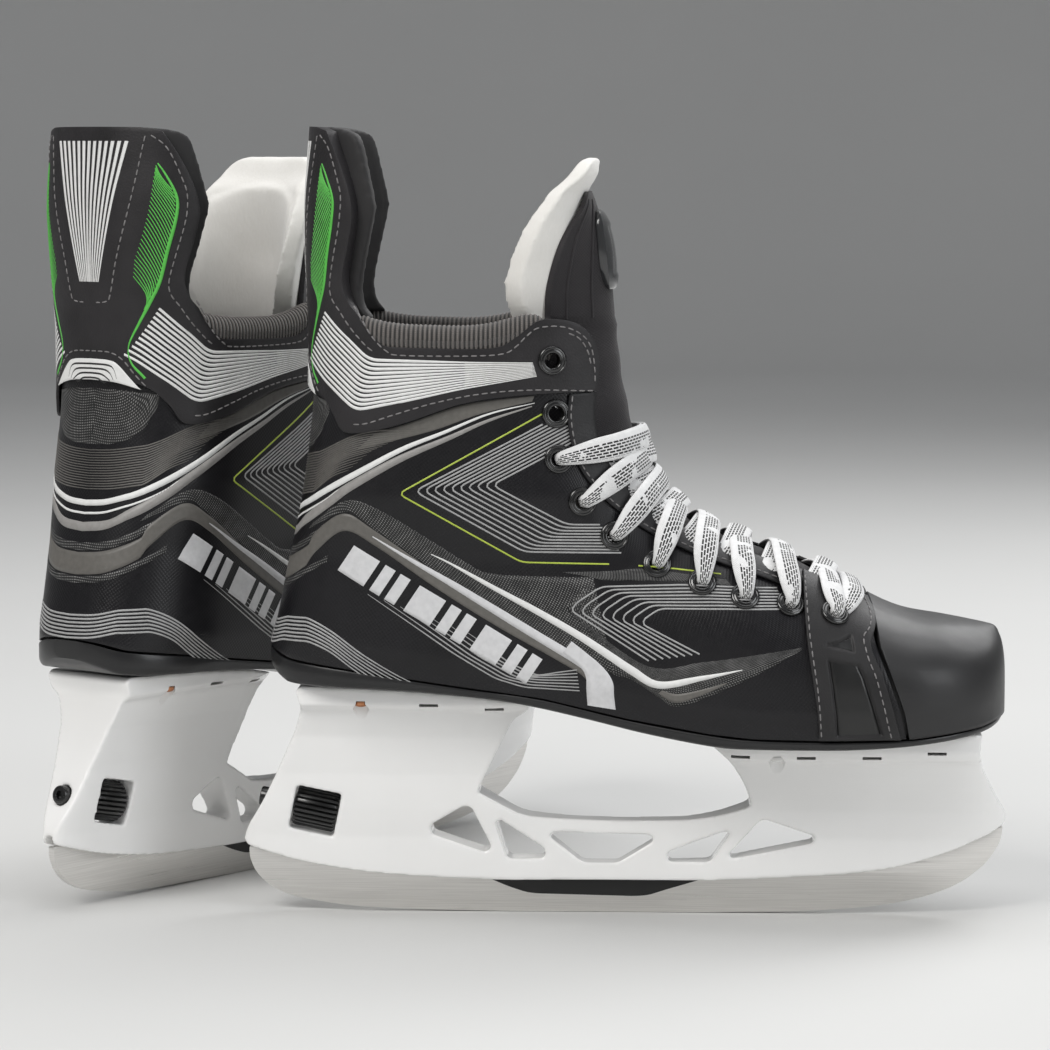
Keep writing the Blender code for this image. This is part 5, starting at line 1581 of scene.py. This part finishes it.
def all_stitches():
    over = OVERLAY_LIFT
    thread = ink("thread")
    rows = [
        [(-13, 204.2), (-34, 205), (-51, 204), (-68, 201), (-85, 196), (-97, 192), (-104, 191.8)],
        [(-101, 237), (-99, 233.6), (-96, 228), (-93, 223.4), (-89, 219.6), (-84, 218), (-59, 217.8),
         (-46, 218.6), (-41, 221.4), (-37, 225.6), (-33, 228.4), (-25, 228.8), (-18.4, 226.2),
         (-14.4, 221), (-13, 213), (-12.8, 205.6)],
        [(-14.2, 214), (-15.6, 219.6), (-19, 224.6), (-25, 227.2)],
        [(-113.2, 300), (-109.6, 294.6), (-106.3, 283), (-105.1, 276.4), (-105.9, 266.6),
         (-108.1, 254.4), (-109.5, 244.4), (-108.8, 239), (-106, 234.4), (-102.2, 228.4), (-96.8, 221.8),
         (-92.8, 218.6)],
    ]
    strap = [
        [(66.9, 132.8), (67.4, 125.6), (69, 112), (72.2, 92.8), (73.7, 75.6)],
        [(83.8, 126.6), (89, 123.6), (91.4, 119.4), (91.2, 114.9), (88.8, 111.6), (90.2, 105.4),
         (93.9, 97), (97.7, 83.2), (99.8, 75.2)],
    ]
    for line in rows + strap:
        for side in SIDES:
            stitches(thread, smooth(line), side, over)
    for side in SIDES:
        edge = [(-20.4, 203), (-20.8, 193), (-17.8, 179), (-11.8, 169.6), (-2.2, 160), (10.6, 151.2),
                (27.4, 143.2), (48, 136.4), (65, 130.2)]
        stitches(thread, smooth(edge), side, EYESTAY_LIFT)
        panel = [(24, 300), (20, 276), (13.5, 252), (10.6, 239.5), (8.4, 236), (0, 235.4)]
        stitches(thread, around_back(panel, 10), side, over)
        hood = [(0, 216.6), (9.6, 216.2), (15, 213.4), (19, 208.4), (23, 203.4)]
        stitches(thread, around_back(hood, 10), side, over)


def print_meshes():
    """Every printed or stitched layer, by the name of its finish."""
    for draw in (ankle_graphics, quarter_graphics, side_graphics, heel_graphics, collar_graphics,
                 guard_graphics, all_stitches):
        draw()
    return {name: mesh.build("print_" + name, merge=0, outward=name == "thread")
            for name, mesh in PRINTS.items()}



# ---------------------------------------------------------------- finishes

class Finish:
    """A procedural material, built up from its shader."""

    def __init__(self, name, roughness, **constants):
        self.made = bpy.data.materials.new(name)
        self.made.use_nodes = True
        self.tree = self.made.node_tree
        self.shader = self.tree.nodes["Principled BSDF"]
        self.shader.inputs["Roughness"].default_value = roughness
        for socket, value in constants.items():
            self.shader.inputs[socket.replace("_", " ")].default_value = value
        self.bumped = None

    def node(self, kind, **inputs):
        node = self.tree.nodes.new("ShaderNode" + kind)
        for key, value in inputs.items():
            self.put(node.inputs[key.replace("_", " ")], value)
        return node

    def put(self, socket, value):
        if isinstance(value, bpy.types.NodeSocket):
            self.tree.links.new(value, socket)
        else:
            socket.default_value = value

    def math(self, operation, *values):
        node = self.tree.nodes.new("ShaderNodeMath")
        node.operation = operation
        for socket, value in zip(node.inputs, values):
            self.put(socket, value)
        return node.outputs[0]

    def place(self, scale=(1000, 1000, 1000)):
        """Object coordinates in millimetres, stretched if the scales differ."""
        where = self.node("TexCoord").outputs["Object"]
        return self.node("Mapping", Vector=where, Scale=scale).outputs[0]

    def cloth(self):
        """Cloth coordinates in millimetres: along and across."""
        layer = self.node("UVMap")
        layer.uv_map = "cloth"
        return self.node("SeparateXYZ", Vector=layer.outputs[0]).outputs[:2]

    def noise(self, size, detail=3.0, where=None, distortion=0.0):
        """Noise whose features are about this many millimetres across."""
        node = self.node("TexNoise", Vector=where or self.place(), Scale=1 / size, Detail=detail,
                         Distortion=distortion)
        return node.outputs["Fac"]

    def cells(self, size):
        """Height of a grain of cells about this many millimetres across."""
        return self.node("TexVoronoi", Vector=self.place(), Scale=1 / size).outputs["Distance"]

    def ramp(self, fac, *stops):
        """A value turned into a colour, by stops of (place, colour)."""
        node = self.tree.nodes.new("ShaderNodeValToRGB")
        self.put(node.inputs[0], fac)
        points = node.color_ramp.elements
        while len(points) < len(stops):
            points.new(0.5)
        for point, (at, colour) in zip(points, stops):
            point.position = at
            point.color = (*colour, 1) if isinstance(colour, tuple) else (colour, colour, colour, 1)
        return node.outputs[0]

    def mix(self, fac, a, b):
        node = self.tree.nodes.new("ShaderNodeMix")
        node.data_type = "RGBA"
        for socket, value in zip((node.inputs[0], node.inputs[6], node.inputs[7]), (fac, a, b)):
            self.put(socket, (*value, 1) if isinstance(value, tuple) else value)
        return node.outputs[2]

    def colour(self, value):
        self.put(self.shader.inputs["Base Color"], value)

    def rough(self, fac, low, high):
        node = self.node("MapRange", Value=fac, To_Min=low, To_Max=high)
        self.put(self.shader.inputs["Roughness"], node.outputs[0])

    def bump(self, height, depth, strength=1.0):
        """Relief of this many millimetres; later calls stand on earlier ones."""
        node = self.node("Bump", Height=height, Distance=depth * MM, Strength=strength)
        if self.bumped is not None:
            self.put(node.inputs["Normal"], self.bumped)
        self.bumped = node.outputs[0]
        self.put(self.shader.inputs["Normal"], self.bumped)

    def weave(self, pitch, turn=0.0):
        """Height of a plain weave of threads, with this distance between them in millimetres."""
        u, v = self.cloth()
        c, s = math.cos(turn), math.sin(turn)
        a = self.math("ADD", self.math("MULTIPLY", u, c), self.math("MULTIPLY", v, s))
        b = self.math("SUBTRACT", self.math("MULTIPLY", v, c), self.math("MULTIPLY", u, s))
        rate = math.pi / pitch
        over = self.math("SINE", self.math("MULTIPLY", a, rate))
        under = self.math("SINE", self.math("MULTIPLY", b, rate))
        return self.math("MULTIPLY", over, under)


def fabric(name, dark, light, roughness=0.7, pitch=0.9, sheen=0.15, depth=0.05, gloss=0.4):
    f = Finish(name, roughness, Sheen_Weight=sheen, Sheen_Roughness=0.5, Specular_IOR_Level=gloss)
    weave = f.weave(pitch)
    cloud = f.noise(24, 4)
    f.colour(f.mix(f.math("MULTIPLY_ADD", weave, 0.18, cloud), dark, light))
    f.rough(f.noise(3), roughness - 0.08, roughness + 0.08)
    f.bump(weave, depth)
    f.bump(f.noise(0.7, 2), depth * 0.6)
    return f.made


def leather(name, dark, light, roughness=0.5, grain=0.9, depth=0.05):
    f = Finish(name, roughness, Specular_IOR_Level=0.35)
    cells = f.cells(grain)
    cloud = f.noise(18, 5)
    f.colour(f.mix(f.ramp(cloud, (0.3, 0.0), (0.75, 1.0)), dark, light))
    f.rough(f.noise(5, 4), roughness - 0.07, roughness + 0.1)
    f.bump(cells, depth)
    f.bump(f.noise(0.4, 2), depth * 0.3)
    return f.made


def plastic(name, dark, light, roughness=0.3, coat=0.0, grain=0.02):
    f = Finish(name, roughness, Coat_Weight=coat, Coat_Roughness=0.08)
    cloud = f.noise(30, 3)
    f.colour(f.mix(cloud, dark, light))
    f.rough(f.noise(6, 5), roughness - 0.05, roughness + 0.07)
    f.bump(f.noise(1.2, 3), grain)
    return f.made


def metal(name, dark, light, roughness, stretch=(1000, 1000, 1000)):
    f = Finish(name, roughness, Metallic=1.0)
    streak = f.noise(1.0, 5, f.place(stretch))
    f.colour(f.mix(streak, dark, light))
    f.rough(f.noise(1.7, 4, f.place(stretch)), roughness - 0.08, roughness + 0.1)
    f.bump(streak, 0.01)
    return f.made


def printed(name, dark, light, roughness=0.45):
    f = Finish(name, roughness)
    f.colour(f.mix(f.noise(2.2, 4), dark, light))
    f.rough(f.noise(1.5, 3), roughness - 0.08, roughness + 0.08)
    f.bump(f.noise(0.5, 2), 0.012)
    return f.made


def felt_finish():
    f = Finish("felt", 0.95, Sheen_Weight=0.35, Sheen_Roughness=0.6)
    fibres = f.noise(0.9, 6, f.place((1000, 1000, 350)), 0.6)
    cloud = f.noise(22, 4)
    f.colour(f.mix(f.math("MULTIPLY_ADD", fibres, 0.35, f.math("MULTIPLY", cloud, 0.65)),
                   (0.66, 0.64, 0.60), (0.83, 0.82, 0.79)))
    f.bump(fibres, 0.12, 0.7)
    f.bump(f.noise(5, 3), 0.25, 0.5)
    return f.made


def knit_finish():
    """Ribbed knit: pale ribs, with painted shade darkening the grooves between them."""
    f = Finish("rib_knit", 0.85, Sheen_Weight=0.3, Sheen_Roughness=0.5)
    along_it, round_it = f.cloth()
    wave = f.math("COSINE", f.math("MULTIPLY", along_it, 2 * math.pi / RIB_PITCH))
    rough_wave = f.math("MULTIPLY_ADD", f.noise(0.8, 3), 0.5, wave)
    # Near black where the ribs dip into grooves: painted shade in the grooves.
    rib_and_groove_shade = f.ramp(f.math("MULTIPLY_ADD", rough_wave, 0.5, 0.35), (0.0, (0.003, 0.003, 0.003)),
                 (0.2, (0.006, 0.006, 0.006)), (0.42, (0.08, 0.071, 0.066)), (1.0, (0.16, 0.144, 0.134)))
    f.colour(f.mix(f.math("MULTIPLY", f.noise(9, 3), 0.35), rib_and_groove_shade, (0.05, 0.045, 0.04)))
    loops = f.math("SINE", f.math("MULTIPLY", round_it, 2 * math.pi / 0.8))
    f.bump(f.math("MULTIPLY_ADD", loops, 0.2, wave), 0.12)
    return f.made


def lace_finish():
    """White flat lace with rows of black dashes woven along its middle."""
    f = Finish("lace", 0.8, Sheen_Weight=0.2, Sheen_Roughness=0.5)
    along_it, across_it = f.cloth()
    row_pitch, dash_pitch = 1.15, 2.7
    row = f.math("DIVIDE", across_it, row_pitch)
    row_index = f.math("FLOOR", row)
    in_row = f.math("ABSOLUTE", f.math("SUBTRACT", f.math("FRACT", row), 0.5))
    shifted = f.math("MULTIPLY_ADD", row_index, dash_pitch * 0.37, along_it)
    place_in_dash = f.math("FRACT", f.math("DIVIDE", shifted, dash_pitch))
    in_dash = f.math("ABSOLUTE", f.math("SUBTRACT", place_in_dash, 0.5))
    in_row_mask = f.math("LESS_THAN", in_row, 0.31)
    in_dash_mask = f.math("LESS_THAN", in_dash, 0.41)
    middle = f.math("LESS_THAN", f.math("ABSOLUTE", f.math("ADD", across_it, 0.7)), 3.1)
    bare = f.math("GREATER_THAN", f.noise(10, 3), 0.43)
    dash = f.math("MULTIPLY", f.math("MULTIPLY", in_row_mask, in_dash_mask),
                  f.math("MULTIPLY", middle, bare))
    cloud = f.mix(f.noise(3, 3), (0.62, 0.62, 0.62), (0.82, 0.82, 0.82))
    f.colour(f.mix(dash, cloud, (0.012, 0.012, 0.012)))
    f.bump(f.weave(0.45), 0.06)
    f.bump(f.noise(1.4, 3), 0.08)
    return f.made


def woven_print():
    """Dark cloth with the pale dots of a fine diagonal weave."""
    f = Finish("woven_print", 0.5)
    dots = f.weave(0.72, turn=math.radians(38))
    worn = f.math("MULTIPLY_ADD", f.noise(4, 3), 0.5, f.math("MULTIPLY", dots, 0.6))
    f.colour(f.ramp(worn, (0.30, (0.004, 0.004, 0.0045)), (0.46, (0.014, 0.014, 0.014)),
                    (0.64, (0.15, 0.148, 0.145)), (0.9, (0.30, 0.297, 0.29))))
    f.bump(dots, 0.03)
    return f.made


def finishes():
    black, grey = (0.003, 0.003, 0.003), (0.009, 0.009, 0.009)
    return {
        "shell": fabric("boot_cloth", (0.0028, 0.0026, 0.0034), (0.010, 0.0094, 0.0115), 0.34, 0.8, 0.0,
                        0.03, 0.36),
        "overlay": leather("overlay_trim", (0.013, 0.012, 0.013), (0.025, 0.023, 0.025), 0.46),
        "strap": leather("strap_trim", (0.013, 0.0125, 0.013), (0.025, 0.024, 0.025), 0.48, 0.7, 0.04),
        # Near-black finish for the sheets in the strap's sunk panels: painted shade in the recesses.
        "panel_shade": plastic("strap_panel_shade", black, grey, 0.35, 0.1, 0.03),
        "eyestay": leather("eyestay_trim", (0.007, 0.007, 0.0075), (0.017, 0.016, 0.0175), 0.45),
        "toe": plastic("toe_plastic", (0.009, 0.009, 0.0095), (0.018, 0.0175, 0.0185), 0.46, 0.05, 0.015),
        "tongue": fabric("tongue_cloth", (0.008, 0.0065, 0.008), (0.020, 0.017, 0.019), 0.7, 0.6, 0.1),
        "felt": felt_finish(),
        "badge": plastic("badge_plastic", (0.020, 0.021, 0.022), (0.038, 0.039, 0.041), 0.18, 0.6, 0.006),
        "knit": knit_finish(),
        "lining": fabric("lining_cloth", (0.030, 0.028, 0.027), (0.060, 0.056, 0.053), 0.85, 1.1, 0.2,
                         0.1),
        "pad": fabric("pad_cloth", (0.006, 0.0055, 0.006), (0.018, 0.017, 0.018), 0.65, 0.7, 0.1, 0.06),
        "holder": plastic("holder_plastic", (0.87, 0.865, 0.855), (0.93, 0.925, 0.915), 0.2, 0.5, 0.006),
        "steel": metal("runner_steel", (0.62, 0.605, 0.585), (0.90, 0.885, 0.86), 0.3, (40, 40, 2600)),
        "band": plastic("runner_print", black, grey, 0.4, 0.0, 0.01),
        "bolt": metal("bolt_steel", (0.20, 0.20, 0.21), (0.42, 0.42, 0.43), 0.35),
        "lock": plastic("lock_plastic", black, grey, 0.28, 0.4, 0.01),
        "white_rivet": plastic("rivet_cover", (0.82, 0.815, 0.80), (0.90, 0.895, 0.885), 0.25, 0.4,
                               0.006),
        "rivet": metal("rivet_copper", (0.34, 0.13, 0.06), (0.62, 0.30, 0.16), 0.32),
        "eyelet": plastic("eyelet_enamel", black, grey, 0.2, 0.6, 0.008),
        "sole": plastic("sole_plastic", (0.005, 0.005, 0.0055), (0.013, 0.013, 0.014), 0.36, 0.1, 0.02),
        "lace": lace_finish(),
        "footbed": fabric("footbed_cloth", (0.008, 0.008, 0.008), (0.022, 0.022, 0.022), 0.8, 1.0),
        "white": printed("print_white", (0.66, 0.66, 0.65), (0.82, 0.82, 0.81)),
        "grey": printed("print_grey", (0.22, 0.21, 0.20), (0.34, 0.33, 0.32)),
        "grey_line": printed("print_line", (0.26, 0.26, 0.26), (0.44, 0.44, 0.44)),
        "silver": printed("print_silver", (0.52, 0.52, 0.53), (0.72, 0.72, 0.73), 0.35),
        "olive": printed("print_olive", (0.090, 0.085, 0.077), (0.150, 0.142, 0.130)),
        "olive_fine": printed("print_olive_fine", (0.075, 0.07, 0.065), (0.13, 0.123, 0.113)),
        "lime": printed("print_lime", (0.34, 0.44, 0.05), (0.50, 0.60, 0.08)),
        "green": printed("print_green", (0.07, 0.42, 0.05), (0.12, 0.56, 0.09)),
        "dark": printed("print_dark", (0.006, 0.006, 0.006), (0.014, 0.0135, 0.0135)),
        "weave": woven_print(),
        "thread": printed("thread", (0.11, 0.105, 0.105), (0.26, 0.25, 0.25), 0.7),
    }



# ---------------------------------------------------------------- the pieces

NECK_LOW, NECK_HIGH = (-106, 0, 226), (-112, 0, 242)
FOLD_LOW, FOLD_HIGH = (2, 0, 224), (-4, 0, 240)


def dress_skates():
    f = finishes()
    guard_bend = {"body": "skate", "between": ("guard", NECK_LOW, NECK_HIGH)}
    fold = {"body": "skate", "between": ("upper_tongue", FOLD_LOW, FOLD_HIGH)}
    piece("shell", shell_mesh(), f["shell"], "skate", "boot_black", ["boot_shell"])
    piece("collar_and_guard", collar_mesh(), f["overlay"], slot="trim_charcoal",
          replaces=["collar_panel", "tendon_guard"], **guard_bend)
    piece("toe_box", toe_cap_mesh(), f["toe"], "skate", "trim_charcoal", ["toe_cap"])
    piece("toe_strap", strap_mesh(), f["strap"], "skate", "trim_charcoal",
          ["toe_strap_outer", "toe_strap_inner"])
    # Near-black sheets in the strap's sunk panels: painted shade in the recesses.
    piece("strap_panel_shade", strap_shade_mesh(), f["panel_shade"], "skate", "trim_charcoal")
    piece("eyestay", eyestay_mesh(), f["eyestay"], "skate", "trim_charcoal",
          ["eyestay_outer", "eyestay_inner"])
    piece("tongue_skin", tongue_mesh(), f["tongue"], slot="boot_black",
          replaces=["tongue", "tongue_cap"], **fold)
    piece("tongue_pad", padded_out(felt_mesh(), 0.9, 0.7), f["felt"], slot="felt_white",
          replaces=["tongue_felt"], padded=0.5, **fold)
    piece("tongue_bumper", badge_mesh(), f["badge"], "upper_tongue", "trim_charcoal", ["tongue_badge"])
    piece("collar_roll", lining_roll_mesh(), f["knit"], "skate", "liner_grey", padded=0.7)
    piece("lining", padded_out(lining_mesh(), 2.0, 0.4, 2.0, 4), f["lining"], "skate", "liner_grey",
          ["liner"], padded=0.4)
    piece("guard_pad", padded_out(guard_pad_mesh(), 0.9, 0.5), f["pad"], "guard", "boot_black",
          ["tendon_guard_pad"], padded=0.5)
    piece("eyelets", eyelets_mesh(), f["eyelet"], "skate", "lock_black",
          ["top_eyelet_outer", "top_eyelet_inner"])
    piece("laces", laces_mesh(), f["lace"], "skate", "lace_white", ["lace"])
    piece("holder", holder_mesh(), f["holder"], "skate", "holder_white", ["blade_holder"])
    piece("steel_runner", runner_mesh(), f["steel"], "blade", "runner_steel", ["runner"])
    piece("runner_print", runner_band_mesh(), f["band"], "blade", "lock_black")
    piece("ribbed_wheel", wheel_mesh(), f["lock"], "wheel", "lock_black", ["lock_wheel"])
    piece("hole_plug", plug_mesh(), f["lock"], "skate", "lock_black", ["rear_plug"])
    piece("sole_plate", outsole_mesh(), f["sole"], "skate", "sole_black", ["outsole"])
    for name, (x, side) in RIVETS.items():
        covered = x > 0
        piece(name + "_head", rivet_mesh(x, side), f["white_rivet" if covered else "rivet"], "skate",
              "holder_white" if covered else "rivet_copper", [name])
    slots = {"white": "lace_white", "silver": "holder_white", "thread": "liner_grey",
             "grey": "liner_grey"}
    for name, mesh in print_meshes().items():
        piece("print_" + name, mesh, f[name], slot=slots.get(name, "trim_charcoal"), **guard_bend)
    for label in PLACES:
        for node, finish in (("footbed", "footbed"), ("lock_bolt", "bolt"), ("clamp_block", "bolt")):
            obj = frame["nodes"][f"{label}_{node}"]
            for slot in obj.material_slots:
                slot.material = f[finish]


# ---------------------------------------------------------------- floor, lights and camera

def floor():
    f = Finish("studio_floor", 0.85)
    f.colour(f.mix(f.noise(400, 3), (0.60, 0.60, 0.59), (0.64, 0.64, 0.63)))
    f.bump(f.noise(3, 3), 0.05, 0.3)
    reach, height, bend = 5.0, 3.5, 1.5
    profile = [(0.0, 0.0), (1.2, 0.0), (2.4, 0.0), (reach - bend, 0.0)]
    profile += [(reach - bend + bend * math.sin(a), bend - bend * math.cos(a))
                for a in np.linspace(0, math.pi / 2, 14)[1:]]
    profile.append((reach, height))
    made = Mesh()
    turns = np.linspace(0, 2 * math.pi, 97)
    made.grid(np.array([[(r * math.cos(a), r * math.sin(a), h) for r, h in profile] for a in turns]),
              flip=True)
    mesh = made.build("floor", merge=0.0001, outward=False)
    mesh.materials.append(f.made)
    obj = as_object("studio_floor", mesh)
    obj.location.z = -0.0002


LIGHT_TARGET = (0.02, 0, 0.14)


def soft_light(name, where, size, watts, colour=(1, 1, 1)):
    light = bpy.data.lights.new(name, "AREA")
    light.shape = "RECTANGLE"
    light.size, light.size_y = size
    light.energy = watts
    light.color = colour
    obj = bpy.data.objects.new(name, light)
    bpy.context.scene.collection.objects.link(obj)
    obj.location = where
    obj.rotation_euler = (Vector(LIGHT_TARGET) - Vector(where)).to_track_quat("-Z", "Y").to_euler()


def studio():
    world = bpy.data.worlds.new("studio")
    world.use_nodes = True
    colour, strength = world.node_tree.nodes["Background"].inputs[:2]
    colour.default_value, strength.default_value = (0.93, 0.95, 1.0, 1), 0.28
    bpy.context.scene.world = world
    bpy.context.scene.view_settings.view_transform = "Standard"
    soft_light("key", (-1.1, -1.5, 1.7), (1.3, 0.9), 33, (1, 0.985, 0.96))
    soft_light("fill", (1.6, -1.3, 0.9), (1.0, 1.2), 14, (0.96, 0.98, 1))
    soft_light("top", (0.1, 0.2, 2.0), (1.6, 1.6), 22)
    soft_light("back", (0.9, 1.1, 1.2), (1.2, 0.8), 12)


CAMERA_AT = (0.0563, -1.5922, 0.2975)
CAMERA_TURN = 0.0354
CAMERA_PITCH = -0.0977
CAMERA_LENS = 134.2
SENSOR_WIDTH = 36


def camera():
    data = bpy.data.cameras.new("view")
    data.lens = CAMERA_LENS
    data.sensor_width = SENSOR_WIDTH
    data.clip_end = 50
    obj = bpy.data.objects.new("view", data)
    bpy.context.scene.collection.objects.link(obj)
    obj.location = CAMERA_AT
    direction = Vector((-math.sin(CAMERA_TURN) * math.cos(CAMERA_PITCH),
                        math.cos(CAMERA_TURN) * math.cos(CAMERA_PITCH), math.sin(CAMERA_PITCH)))
    obj.rotation_euler = direction.to_track_quat("-Z", "Y").to_euler()
    bpy.context.scene.camera = obj


camera()
dress_skates()
floor()
studio()
